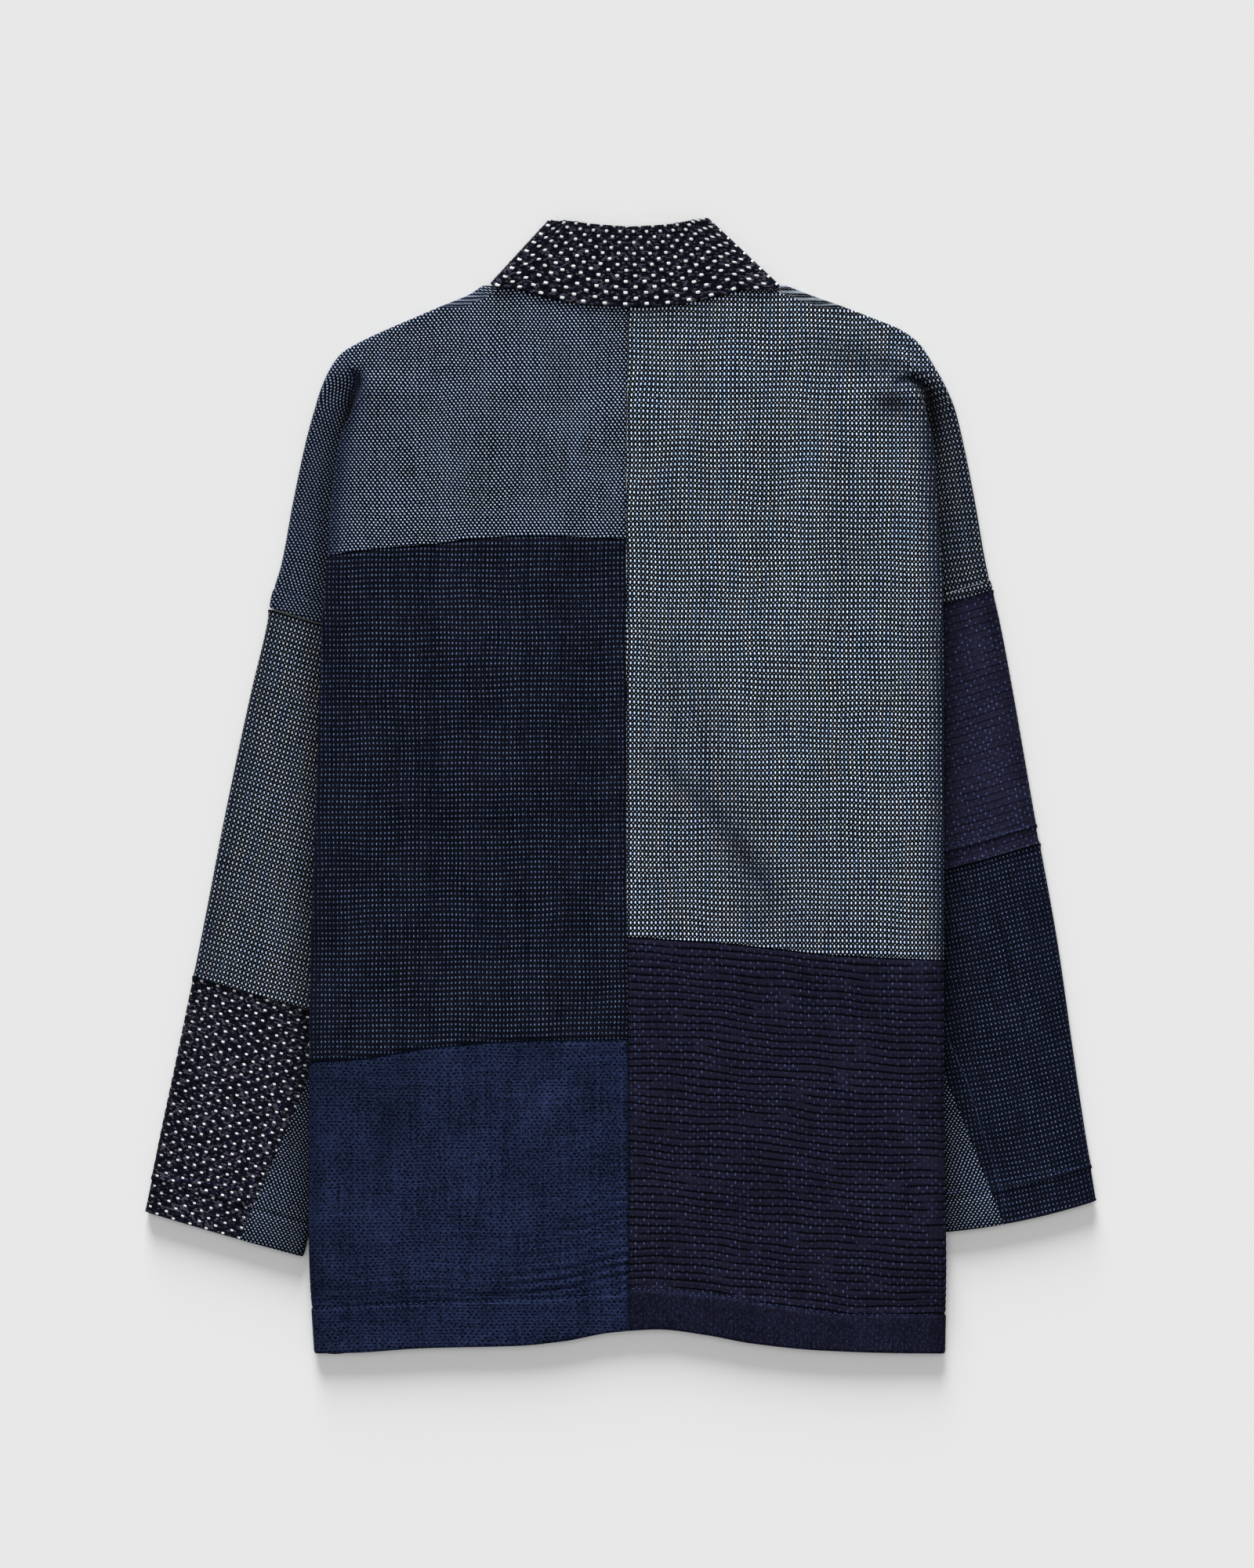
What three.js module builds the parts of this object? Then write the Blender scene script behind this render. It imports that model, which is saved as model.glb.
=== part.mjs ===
import * as THREE from 'three';

// A patched cotton jacket laid flat with its back up. Millimetres, Z up, collar toward +Y.
// Plan tables are in plan units, counted right and down over the laid-out cloth.
const UNIT = 0.6;
const PLAN_MIDDLE_X = 792;
const PLAN_MIDDLE_Y = 1002;

const CLOTH = 1.5;
const BAND = 3;
const HALF_SEAM = 0.25;
const HIDDEN_GAP = 1.4;
const BAND_GAP = 0.4;

// Heights of the middle of each layer over the surface.
const FRONT_Z = 0.75;
const SLEEVE_Z = 8.75;
const UNDER_RISE = 3.7;
const BACK_RISE = 7.5;
const BAND_Z = 1.5;
const COLLAR_Z = 10;

// Lines on the plan.
const CENTRE_X = 802;
const NECK_Y = 370;
const NECK_BASE_Y = 392;
const NECK_STEPS = 4;
const LEVEL_Y = 610;
const HEM_Y = 1715;
const BAND_HEM_Y = 1690;

// The pleat: how it opens below its crease, lies on the sleeve and settles toward the hem.
const RISE_RUN = 45;
const FOLD_START = 25;
const FLAT_IN = 15;
const FLAT_OUT = 5;
const SLANT = 1.1;
const LIFT_FADE = 110;
const STEP_START = 1;
const STEP_RUN = 26;
const MIN_TUCK = 14;
const SETTLE_TOP = 1605;
const SETTLE_END = 1700;

// Where the soft folds of the back begin: inward from its edge, and down from the neck.
const FOLD_FREE = [6, 60];
const FOLD_FREE_Y = 430;

// Half the stretch over which the slant of an outer edge is measured.
const SLOPE_STEP = 5;
const MEET_TURNS = 12;
const MEET_SHARE = 0.7;

function table(names, rows) {
  return Object.fromEntries(names.map((name, i) => [name, rows.map((row) => row[i])]));
}

const LEFT_LINES = table(['y', 'outer', 'edge'], [
  [357, 632, 655],
  [364, 616, 638],
  [375, 599, 624],
  [390, 563, 591],
  [405, 528, 556],
  [420, 493, 520],
  [435, 461, 487],
  [450, 436, 461],
  [465, 424, 447],
  [480, 416, 451],
  [500, 408, 450],
  [520, 402, 445],
  [560, 391, 435],
  [640, 374, 424],
  [720, 359, 419],
  [760, 347, 415],
  [800, 340, 412],
  [880, 321, 409],
  [1040, 287, 404],
  [1200, 256, 398],
  [1360, 223, 396],
  [1440, 206, 395],
  [1544, 185, 395],
  [1640, 165, 397],
  [1730, 150, 402],
]);

const RIGHT_LINES = table(['y', 'outer', 'edge'], [
  [357, 985, 962],
  [364, 1004, 978],
  [375, 1032, 1003],
  [390, 1074, 1044],
  [405, 1113, 1085],
  [420, 1149, 1123],
  [435, 1170, 1147],
  [450, 1182, 1157],
  [465, 1191, 1162],
  [480, 1200, 1166],
  [498, 1209, 1182],
  [520, 1218, 1186],
  [560, 1228, 1189],
  [640, 1244, 1195],
  [720, 1258, 1200],
  [760, 1268, 1202],
  [800, 1277, 1202],
  [880, 1292, 1203],
  [1040, 1320, 1203],
  [1200, 1349, 1203],
  [1360, 1372, 1203],
  [1440, 1384, 1204],
  [1530, 1399, 1205],
  [1640, 1416, 1206],
  [1730, 1430, 1205],
]);

const CENTRE_LINE = table(['y', 'x'], [
  [392, 802], [687, 799], [1195, 800], [1325, 801], [1730, 802],
]);
const LEFT_NECK = table(['y', 'x'], [
  [357, 636], [364, 653], [376, 684], [387, 735], [391, 775], [392, 802],
]);
const RIGHT_NECK = table(['y', 'x'], [
  [357, 980], [364, 962], [380, 909], [390, 852], [391.5, 822], [392, 802],
]);
const LEFT_BAND = table(['y', 'seam', 'free'], [
  [286, 612, 705], [366, 631.2, 715], [382, 635.2, 718], [700, 672, 757],
  [1000, 691, 786], [1200, 696, 791], [1730, 696, 791],
]);
const RIGHT_BAND = table(['y', 'seam', 'free'], [
  [286, 1012, 899], [366, 991.2, 890], [382, 986.3, 887], [700, 932, 835],
  [1000, 901, 803], [1200, 893, 796], [1730, 892, 796],
]);

const BACK_HEIGHT = table(['y', 'z'], [
  [357, 8], [420, 9.4], [560, 10.6], [760, 11.4], [1500, 11.2], [1730, 9.4],
]);
const SHOULDER_HEIGHT = table(['y', 'z'], [
  [357, 7.2], [400, 8.2], [450, SLEEVE_Z], [1730, SLEEVE_Z],
]);

const BACK_HEM = table(['x', 'y'], [
  [395, 1727], [450, 1726], [540, 1720], [660, 1717], [720, 1711], [780, 1700], [840, 1696],
  [900, 1702], [960, 1712], [1050, 1719], [1150, 1722], [1210, 1722],
]);
const FRONT_HEM = table(['x', 'y'], [
  [395, 1725], [425, 1730], [450, 1727], [500, 1714], [700, 1700], [792, 1688],
  [900, 1696], [963, 1714], [1050, 1725], [1150, 1728], [1210, 1724],
]);
const YOKE_SEAM = table(['x', 'y'], [
  [421, 705], [441, 705], [554, 695], [600, 687], [677, 683], [799, 687],
]);
const LEFT_HEM_SEAM = table(['x', 'y'], [
  [390, 1354], [473, 1348], [539, 1337], [672, 1327], [801, 1325],
]);
const RIGHT_HEM_SEAM = table(['x', 'y'], [
  [800, 1195], [913, 1202], [990, 1210], [1066, 1219], [1205, 1227],
]);

// The collar's top edge, by the share of the way out from the middle of the neck.
const LEFT_TOP = table(['f', 'x', 'y'], [
  [0, 802, 289], [0.5, 752, 285], [0.82, 722, 284.5], [1, 705.2, 285.7],
]);
const RIGHT_TOP = table(['f', 'x', 'y'], [
  [0, 802, 289], [0.5, 856, 286], [0.82, 884, 283], [1, 900, 282],
]);

const LEFT = {
  out: -1,
  lines: LEFT_LINES,
  neck: LEFT_NECK,
  band: LEFT_BAND,
  creaseTop: 462,
  creaseFull: 568,
  creaseX: 447,
  armOuter: [351, 777],
  armInner: [560, 841],
  underTop: [421, 705],
  cuffOuterY: 1544,
  cuffInner: [385, 1601],
  cuffBow: 1,
  gussetTop: 0.382,
  gussetWide: 86,
  upperRows: [0, 0.1, 0.2, 0.3, 0.382, 0.392, 0.41, 0.44, 0.475, 0.54, 0.611],
  lowerRows: [0.611, 0.68, 0.75, 0.83, 0.91, 1],
  collarTop: LEFT_TOP,
  collarFold: { seam: [626, 364], top: [700, 281], inward: [0.745, 0.667] },
};

const RIGHT = {
  out: 1,
  lines: RIGHT_LINES,
  neck: RIGHT_NECK,
  band: RIGHT_BAND,
  creaseTop: 466,
  creaseFull: 568,
  creaseX: 1163,
  armOuter: [1266, 752],
  armInner: [1042, 819],
  underTop: [1202, 771],
  cuffOuterY: 1530,
  cuffInner: [1204, 1570],
  cuffBow: 6,
  gussetTop: 0.38,
  gussetWide: 82,
  upperRows: [0, 0.1, 0.2, 0.3, 0.38, 0.39, 0.416],
  lowerRows: [0.416, 0.45, 0.5, 0.57, 0.65, 0.74, 0.83, 0.92, 1],
  collarTop: RIGHT_TOP,
  collarFold: { seam: [996, 365], top: [905, 277], inward: [-0.694, 0.72] },
};

// Soft folds of the back, placed by hand: middle, half length, half width, turn, rise.
const BACK_FOLDS = table(['x', 'y', 'long', 'wide', 'turn', 'rise'], [
  [905, 860, 90, 34, 62, -1.2],
  [960, 1040, 80, 30, 48, -1.0],
  [1040, 930, 110, 38, 66, 0.9],
  [700, 560, 120, 40, 12, 0.7],
  [560, 900, 140, 42, 84, 0.7],
  [680, 1110, 120, 40, 100, -0.8],
  [600, 1480, 130, 40, 80, 0.8],
  [960, 1500, 140, 40, 96, 0.7],
  [730, 1620, 90, 34, 70, -0.7],
  [1060, 620, 100, 36, 130, 0.8],
]);

const lerp = (a, b, f) => a + (b - a) * f;
const clamp = (v, lo, hi) => Math.min(hi, Math.max(lo, v));

function smooth(a, b, v) {
  const f = clamp((v - a) / (b - a), 0, 1);
  return f * f * (3 - 2 * f);
}

// Reads a table column as a smooth curve through its rows.
function read(rows, name, at, key = 'y') {
  const xs = rows[key];
  const ys = rows[name];
  const last = xs.length - 1;
  const here = clamp(at, xs[0], xs[last]);
  let i = 0;
  while (i < last - 1 && here > xs[i + 1]) {
    i += 1;
  }
  const slope = (k) => (ys[k + 1] - ys[k]) / (xs[k + 1] - xs[k]);
  const tangent = (k) => {
    if (k === 0) {
      return slope(0);
    }
    if (k === last) {
      return slope(last - 1);
    }
    const a = slope(k - 1);
    const b = slope(k);
    return a * b <= 0 ? 0 : (2 * a * b) / (a + b);
  };
  const h = xs[i + 1] - xs[i];
  const f = (here - xs[i]) / h;
  const g = 1 - f;
  return ys[i] * (1 + 2 * f) * g * g + tangent(i) * h * f * g * g
    + ys[i + 1] * f * f * (3 - 2 * f) - tangent(i + 1) * h * f * f * g;
}

const hemAt = (rows, x) => read(rows, 'y', x, 'x');
const outerAt = (side, y) => read(side.lines, 'outer', y);
const edgeAt = (side, y) => read(side.lines, 'edge', y);

function centreAt(side, y) {
  const x = y < NECK_BASE_Y ? read(side.neck, 'x', y) : read(CENTRE_LINE, 'x', y);
  return x + side.out * HALF_SEAM;
}

const bandSeamAt = (side, y) => read(side.band, 'seam', y) + side.out * BAND_GAP;

// The hidden line where the pleat turns back out into the sleeve, and the sleeve's inner edge.
function tuckAt(side, y) {
  const [armX, armY] = side.armInner;
  const [endX, endY] = side.cuffInner;
  const line = y < armY
    ? lerp(side.creaseX, armX, clamp((y - side.creaseTop) / (armY - side.creaseTop), 0, 1))
    : lerp(armX, endX, (y - armY) / (endY - armY));
  const nearest = edgeAt(side, y) - side.out * MIN_TUCK;
  return side.out < 0 ? Math.max(line, nearest) : Math.min(line, nearest);
}

function foldRise(x, y) {
  let rise = 0;
  BACK_FOLDS.x.forEach((fx, i) => {
    const turn = (BACK_FOLDS.turn[i] * Math.PI) / 180;
    const dx = x - fx;
    const dy = y - BACK_FOLDS.y[i];
    const along = dx * Math.cos(turn) + dy * Math.sin(turn);
    const across = -dx * Math.sin(turn) + dy * Math.cos(turn);
    const reach = (along / BACK_FOLDS.long[i]) ** 2 + (across / BACK_FOLDS.wide[i]) ** 2;
    rise += BACK_FOLDS.rise[i] * Math.exp(-reach);
  });
  return rise;
}

// Layer heights and the turns' sizes on the line y of one side.
function levels(side, y) {
  const rise = smooth(side.creaseTop, side.creaseTop + RISE_RUN, y);
  const fold = smooth(side.creaseTop + FOLD_START, side.creaseFull, y);
  const held = 1 - smooth(SETTLE_TOP, SETTLE_END, y);
  const sleeve = read(SHOULDER_HEIGHT, 'z', y);
  const back = sleeve + BACK_RISE * rise * held;
  const under = lerp(FRONT_Z, sleeve + UNDER_RISE * rise, held);
  return { fold, sleeve, back, under, turn: (back - under) / 2, tuck: (under - sleeve) / 2 };
}

function backZ(side, level, x, y) {
  const edge = edgeAt(side, y);
  const inward = Math.abs(x - edge);
  const depth = Math.abs(tuckAt(side, y) - edge);
  const lift = 1 - smooth(depth, depth + LIFT_FADE, inward);
  const free = smooth(...FOLD_FREE, inward) * smooth(NECK_Y, FOLD_FREE_Y, y);
  return lerp(read(BACK_HEIGHT, 'z', y), level.back, lift) + foldRise(x, y) * free;
}

function outerTurn(side, level, y) {
  const slope = (outerAt(side, y + SLOPE_STEP) - outerAt(side, y - SLOPE_STEP)) / (2 * SLOPE_STEP);
  const radius = (level.sleeve - FRONT_Z) / 2;
  return { radius, reach: (radius / UNIT) * Math.hypot(1, slope) };
}

// One point of the body's cloth. The cloth runs from the middle of the back out to the edge,
// turns under, tucks back into the shoulder and sleeve, turns under again and runs to the front.
function bodyPoint(side, part, f, y) {
  const o = side.out;
  const level = levels(side, y);
  const edge = edgeAt(side, y);
  const tuck = tuckAt(side, y);
  const turn = level.turn / UNIT;
  const tuckTurn = level.tuck / UNIT;
  const outer = outerAt(side, y);
  const { radius, reach } = outerTurn(side, level, y);
  const arc = Math.PI * f;
  const slant = 4 * SLANT * level.fold * (1 - level.fold);
  const blend = (share, foldX, z, tip) => ({
    x: lerp(edge + o * lerp(-FLAT_IN, FLAT_OUT, share), foldX, level.fold),
    z: z + slant * tip,
  });
  if (part === 'back') {
    const end = edge - o * lerp(FLAT_IN, turn, level.fold);
    const x = lerp(centreAt(side, y), end, f);
    return { x, z: backZ(side, level, x, y) };
  }
  if (part === 'turn') {
    const foldX = edge - o * turn * (1 - Math.sin(arc));
    return blend(f / 3, foldX, (level.back + level.under) / 2 + level.turn * Math.cos(arc), f);
  }
  if (part === 'under') {
    return blend((1 + f) / 3, lerp(edge - o * turn, tuck + o * tuckTurn, f), level.under, 1 - 2 * f);
  }
  if (part === 'tuck') {
    const foldX = tuck + o * tuckTurn * (1 - Math.sin(arc));
    return blend((2 + f) / 3, foldX, (level.under + level.sleeve) / 2 + level.tuck * Math.cos(arc), f - 1);
  }
  if (part === 'sleeve') {
    const start = lerp(edge + o * FLAT_OUT, tuck + o * tuckTurn, level.fold);
    return { x: lerp(start, outer - o * reach, f), z: level.sleeve };
  }
  if (part === 'outer') {
    return {
      x: outer - o * reach * (1 - Math.sin(arc)),
      z: (level.sleeve + FRONT_Z) / 2 + radius * Math.cos(arc),
    };
  }
  const split = lerp((outer - o * reach + bandSeamAt(side, y)) / 2, tuck, level.fold);
  if (part === 'lower') {
    return { x: lerp(outer - o * reach, split, f), z: FRONT_Z };
  }
  if (part === 'flap') {
    const start = edge - o * (turn + HIDDEN_GAP);
    return { x: lerp(start, tuck - o * STEP_START, f), z: level.under };
  }
  if (part === 'step') {
    const x = tuck - o * (STEP_START + STEP_RUN * f);
    return { x, z: lerp(level.under, FRONT_Z, smooth(0, 1, f)) };
  }
  const start = part === 'front' ? split : tuck - o * (STEP_START + STEP_RUN);
  return { x: lerp(start, bandSeamAt(side, y), f), z: FRONT_Z };
}

// Columns of a section: each stretch of cloth with its number of cells.
function columns(stretches) {
  const list = [];
  stretches.forEach(([part, cells], k) => {
    for (let i = k === 0 ? 0 : 1; i <= cells; i += 1) {
      list.push({ part, f: i / cells });
    }
  });
  return list;
}

// Finds the height on the plan where a column meets a line y = limit(x).
function meet(side, column, limit, guess) {
  let y = guess;
  for (let i = 0; i < MEET_TURNS; i += 1) {
    y = lerp(y, limit(bodyPoint(side, column.part, column.f, y).x), MEET_SHARE);
  }
  return y;
}

const place = (x, y, z) => new THREE.Vector3((x - PLAN_MIDDLE_X) * UNIT, (PLAN_MIDDLE_Y - y) * UNIT, z);

// Makes a closed wall from rows of middle points, leaving out the cells that keep() refuses.
function wall(name, rows, thickness, material, keep = () => true) {
  const wide = rows[0].length;
  const points = rows.flat();
  const faces = [];
  for (let i = 0; i + 1 < rows.length; i += 1) {
    for (let j = 0; j + 1 < wide; j += 1) {
      if (keep(i, j)) {
        const a = i * wide + j;
        const b = a + 1;
        const c = a + wide;
        const d = c + 1;
        if ((i + j) % 2 === 0) {
          faces.push([a, c, b], [b, c, d]);
        } else {
          faces.push([a, c, d], [a, d, b]);
        }
      }
    }
  }
  const normals = points.map(() => new THREE.Vector3());
  const edges = new Map();
  faces.forEach(([a, b, c]) => {
    const n = new THREE.Vector3().subVectors(points[b], points[a])
      .cross(new THREE.Vector3().subVectors(points[c], points[a])).normalize();
    [[a, b, c], [b, c, a], [c, a, b]].forEach(([p, q, r]) => {
      const one = new THREE.Vector3().subVectors(points[q], points[p]);
      const two = new THREE.Vector3().subVectors(points[r], points[p]);
      normals[p].addScaledVector(n, one.angleTo(two));
      edges.set(`${p}_${q}`, [p, q]);
    });
  });
  const used = [...new Set(faces.flat())];
  const slot = new Map(used.map((p, k) => [p, k]));
  const coords = [];
  [0.5, -0.5].forEach((half) => {
    used.forEach((p) => {
      const n = normals[p].clone().normalize();
      coords.push(...points[p].clone().addScaledVector(n, half * thickness).toArray());
    });
  });
  const top = (p) => slot.get(p);
  const low = (p) => slot.get(p) + used.length;
  const index = [];
  faces.forEach(([a, b, c]) => {
    index.push(top(a), top(b), top(c), low(a), low(c), low(b));
  });
  edges.forEach(([p, q]) => {
    if (!edges.has(`${q}_${p}`)) {
      index.push(top(p), low(p), top(q), top(q), low(p), low(q));
    }
  });
  const geometry = new THREE.BufferGeometry();
  geometry.setAttribute('position', new THREE.Float32BufferAttribute(coords, 3));
  geometry.setIndex(index);
  geometry.computeVertexNormals();
  const mesh = new THREE.Mesh(geometry, material);
  mesh.name = name;
  return mesh;
}

// Even steps from one value to another, and joined stretches of [from, to, cells].
const spread = (from, to, cells) => Array.from({ length: cells + 1 }, (_, i) => lerp(from, to, i / cells));
const chain = (stretches) => stretches.flatMap((stretch, k) => spread(...stretch).slice(k === 0 ? 0 : 1));

const cloth = (color) => new THREE.MeshStandardMaterial({ color, roughness: 0.95, side: THREE.DoubleSide });
const DOTTED = cloth(0x30365a);
const DASHED = cloth(0x20263f);
const PEBBLED = cloth(0x3a4a72);
const GRAINED = cloth(0x4a5068);
const RIBBED = cloth(0x2c2c44);
const KNOBBED = cloth(0x24262f);

// The line across the sleeve where the shoulder cloth ends. It runs on a little past its outer end.
const ARM_LINE_PAST = 0.2;

function armLine(side) {
  const [ax, ay] = side.armOuter;
  const [bx, by] = side.armInner;
  return (x) => lerp(ay, by, clamp((x - ax) / (bx - ax), -ARM_LINE_PAST, 1));
}

// The hidden line on the pleat's under side where the front panel takes over.
function underLine(side) {
  const [ax, ay] = side.underTop;
  const [bx, by] = side.armInner;
  return (x) => lerp(ay, by, clamp((x - ax) / (bx - ax), 0, 1));
}

const SHOULDER_COLUMNS = columns([
  ['back', 9], ['turn', 4], ['under', 4], ['tuck', 4],
  ['sleeve', 5], ['outer', 5], ['lower', 4], ['front', 4],
]);
const BACK_COLUMNS = columns([['back', 9], ['turn', 4]]);
const FRONT_COLUMNS = columns([['flap', 4], ['step', 4], ['inside', 6]]);

function shoulderEnd(side, column, backSeam) {
  const arm = armLine(side);
  const under = underLine(side);
  const gap = (line) => (x) => line(x) - HALF_SEAM;
  const guess = side.armInner[1];
  if (column.part === 'back') {
    return meet(side, column, gap(backSeam), backSeam(edgeAt(side, guess)));
  }
  if (column.part === 'turn') {
    return backSeam(edgeAt(side, guess)) - HALF_SEAM;
  }
  if (column.part === 'under') {
    return meet(side, column, (x) => under(x) - HIDDEN_GAP, guess);
  }
  if (column.part === 'tuck' || column.part === 'front') {
    return guess - HIDDEN_GAP;
  }
  return meet(side, column, gap(arm), side.armOuter[1]);
}

// Level rows of the shoulder, closest together where the crease starts.
const SHOULDER_LEVELS = [
  ...spread(NECK_Y, NECK_BASE_Y, NECK_STEPS),
  412, 432, 450, 466, 480, 494, 508, 522, 536, 550, 566, 586, LEVEL_Y,
];
const SHOULDER_LATE_ROWS = 4;

function shoulderRows(side, backSeam) {
  const late = spread(0, 1, SHOULDER_LATE_ROWS).slice(1).map((f) => LEVEL_Y + f);
  const ends = SHOULDER_COLUMNS.map((column) => shoulderEnd(side, column, backSeam));
  return [...SHOULDER_LEVELS, ...late].map((row) => SHOULDER_COLUMNS.map((column, j) => {
    const y = row <= LEVEL_Y ? row : lerp(LEVEL_Y, ends[j], row - LEVEL_Y);
    const p = bodyPoint(side, column.part, column.f, y);
    return place(p.x, y, p.z);
  }));
}

function backRows(side, columnList, from, to, steps) {
  const middle = side.armInner[0];
  const start = (x) => from(x) + HALF_SEAM;
  const end = (x) => to(x) - HALF_SEAM;
  const tops = columnList.map((column) => meet(side, column, start, from(middle)));
  const ends = columnList.map((column) => meet(side, column, end, to(middle)));
  return steps.map((v) => columnList.map((column, j) => {
    const y = lerp(tops[j], ends[j], v);
    const p = bodyPoint(side, column.part, column.f, y);
    return place(p.x, y, p.z);
  }));
}

function frontRows(side) {
  const under = underLine(side);
  const steps = chain([[0, 0.8, 9], [0.8, 1, 6]]);
  const tops = FRONT_COLUMNS.map((column) => (column.part === 'flap'
    ? meet(side, column, (x) => under(x) + HIDDEN_GAP, side.armInner[1])
    : side.armInner[1] + HALF_SEAM));
  const ends = FRONT_COLUMNS.map((column) => meet(side, column, (x) => hemAt(FRONT_HEM, x), HEM_Y));
  return steps.map((v) => FRONT_COLUMNS.map((column, j) => {
    const y = lerp(tops[j], ends[j], v);
    const p = bodyPoint(side, column.part, column.f, y);
    return place(p.x, y, p.z);
  }));
}

// A point of a sleeve: v runs from the armhole to the cuff, way is the distance round the tube
// from its inner edge, first over the upper layer, then back along the lower one.
const SLEEVE_TURN = (SLEEVE_Z - FRONT_Z) / 2 / UNIT;
const QUARTER = (Math.PI * SLEEVE_TURN) / 2;

function sleeveEnds(side, v) {
  const outerY = lerp(side.armOuter[1], side.cuffOuterY, v);
  const outer = [outerAt(side, outerY), outerY];
  const inner = side.armInner.map((start, k) => lerp(start, side.cuffInner[k], v));
  return { outer, inner, width: Math.hypot(outer[0] - inner[0], outer[1] - inner[1]) };
}

function sleevePoint(side, v, way) {
  const { outer, inner, width } = sleeveEnds(side, v);
  const flat = width - 2 * SLEEVE_TURN;
  const half = 2 * QUARTER + flat;
  const over = way <= half;
  const run = over ? way : 2 * half - way;
  let inward = SLEEVE_TURN + run - QUARTER;
  let rise = 1;
  if (run < QUARTER) {
    inward = SLEEVE_TURN * (1 - Math.cos(run / SLEEVE_TURN));
    rise = Math.sin(run / SLEEVE_TURN);
  } else if (run > QUARTER + flat) {
    const arc = (run - QUARTER - flat) / SLEEVE_TURN;
    inward = SLEEVE_TURN + flat + SLEEVE_TURN * Math.sin(arc);
    rise = Math.cos(arc);
  }
  const f = inward / width;
  const bow = side.cuffBow * 4 * f * (1 - f) * v;
  const z = (SLEEVE_Z + FRONT_Z) / 2 + (over ? 1 : -1) * rise * SLEEVE_TURN * UNIT;
  return place(lerp(inner[0], outer[0], f), lerp(inner[1], outer[1], f) + bow, z);
}

// How far the gusset reaches from the sleeve's inner edge, round either side of it.
function gussetReach(side, v) {
  const grow = clamp((v - side.gussetTop) / (1 - side.gussetTop), 0, 1);
  return grow * side.gussetWide;
}

// Where the gusset's hidden gap narrows to a seam, its first row and its turn round the edge.
const GAP_NARROWS = [8, 40];
const GUSSET_START = 0.02;
const GUSSET_TURN = 0.6;
const SLEEVE_LONG = 767;

function gussetGap(side, v) {
  return lerp(HIDDEN_GAP, HALF_SEAM, smooth(...GAP_NARROWS, gussetReach(side, v)));
}

function sleeveRows(side, list) {
  const tiny = HALF_SEAM / SLEEVE_LONG;
  return list.map((row, k) => {
    const v = k === 0 ? row + tiny : row - (k === list.length - 1 && row < 1 ? tiny : 0);
    const { width } = sleeveEnds(side, v);
    const half = 2 * QUARTER + width - 2 * SLEEVE_TURN;
    const start = gussetReach(side, v) + gussetGap(side, v);
    const ways = chain([
      [start, start + QUARTER, 3],
      [start + QUARTER, half - QUARTER, 5],
      [half - QUARTER, half + QUARTER, 4],
      [half + QUARTER, 2 * half - start - QUARTER, 4],
      [2 * half - start - QUARTER, 2 * half - start, 3],
    ]);
    return ways.map((way) => sleevePoint(side, v, way));
  });
}

function gussetRows(side) {
  const all = [...side.upperRows.slice(0, -1), ...side.lowerRows];
  const list = all.filter((v) => v > side.gussetTop + GUSSET_START);
  return list.map((v) => {
    const { width } = sleeveEnds(side, v);
    const round = 2 * (2 * QUARTER + width - 2 * SLEEVE_TURN);
    const reach = gussetReach(side, v) - gussetGap(side, v) / 2;
    const turn = Math.min(QUARTER, reach * GUSSET_TURN);
    const ways = chain([[reach, turn, 3], [turn, -turn, 4], [-turn, -reach, 3]]);
    return ways.map((way) => sleevePoint(side, v, way < 0 ? round + way : way));
  });
}

// The collar: rows across the band, each from its seam end to its free end.
const COLLAR_GAP = 0.9;
const CORNER_LIFT = 2.5;
const COLLAR_HUMP = 0.7;
const COLLAR_CELLS = 5;
const COLLAR_TURN_ROWS = 5;
const BAND_STARTS = table(['seamY', 'freeY'], [[382, 308], [394, 345], [412, 385]]);
const BAND_SLANTS = table(['seamY', 'freeY'], [[412.5, 385.5], [450, 438], [500, 496]]);
const BAND_LEVEL_Y = 560;
const BAND_ROWS = 12;

function collarLine(seam, top, z, hump) {
  return spread(0, 1, COLLAR_CELLS).map((g) => {
    const rise = hump * COLLAR_HUMP * Math.sin(Math.PI * g);
    return place(lerp(seam[0], top[0], g), lerp(seam[1], top[1], g), z + rise);
  });
}

function bandLine(side, seamY, freeY) {
  const seam = [read(side.band, 'seam', seamY) - side.out * BAND_GAP, seamY];
  return collarLine(seam, [read(side.band, 'free', freeY), freeY], BAND_Z, 0);
}

const bandLines = (side, rows) => rows.seamY.map((seamY, i) => bandLine(side, seamY, rows.freeY[i]));

function collarHalf(side) {
  const fold = side.collarFold;
  const turn = (COLLAR_Z - BAND_Z) / 2;
  const corner = fold.seam.map((c, k) => c + (fold.inward[k] * turn) / UNIT - k * CORNER_LIFT);
  const topAt = (f) => [read(side.collarTop, 'x', f, 'f'), read(side.collarTop, 'y', f, 'f')];
  const rows = [];
  for (let i = 0; i <= NECK_STEPS + 1; i += 1) {
    const y = lerp(NECK_BASE_Y, NECK_Y, i / NECK_STEPS);
    const neck = [read(side.neck, 'x', y), y - COLLAR_GAP];
    const seam = i <= NECK_STEPS ? neck : [corner[0], corner[1] - COLLAR_GAP];
    const f = Math.abs(seam[0] - CENTRE_X) / Math.abs(corner[0] - CENTRE_X);
    rows.push(collarLine(seam, topAt(f), COLLAR_Z, 1));
  }
  spread(0, 1, COLLAR_TURN_ROWS).slice(1).forEach((f) => {
    const back = (turn / UNIT) * (1 - Math.sin(Math.PI * f));
    const shift = ([x, y], lift) => [
      x + fold.inward[0] * back,
      y + fold.inward[1] * back - COLLAR_GAP - lift,
    ];
    const z = (COLLAR_Z + BAND_Z) / 2 + turn * Math.cos(Math.PI * f);
    rows.push(collarLine(shift(fold.seam, CORNER_LIFT), shift(fold.top, 0), z, 1 - f));
  });
  return [...rows, ...bandLines(side, BAND_STARTS)];
}

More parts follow.
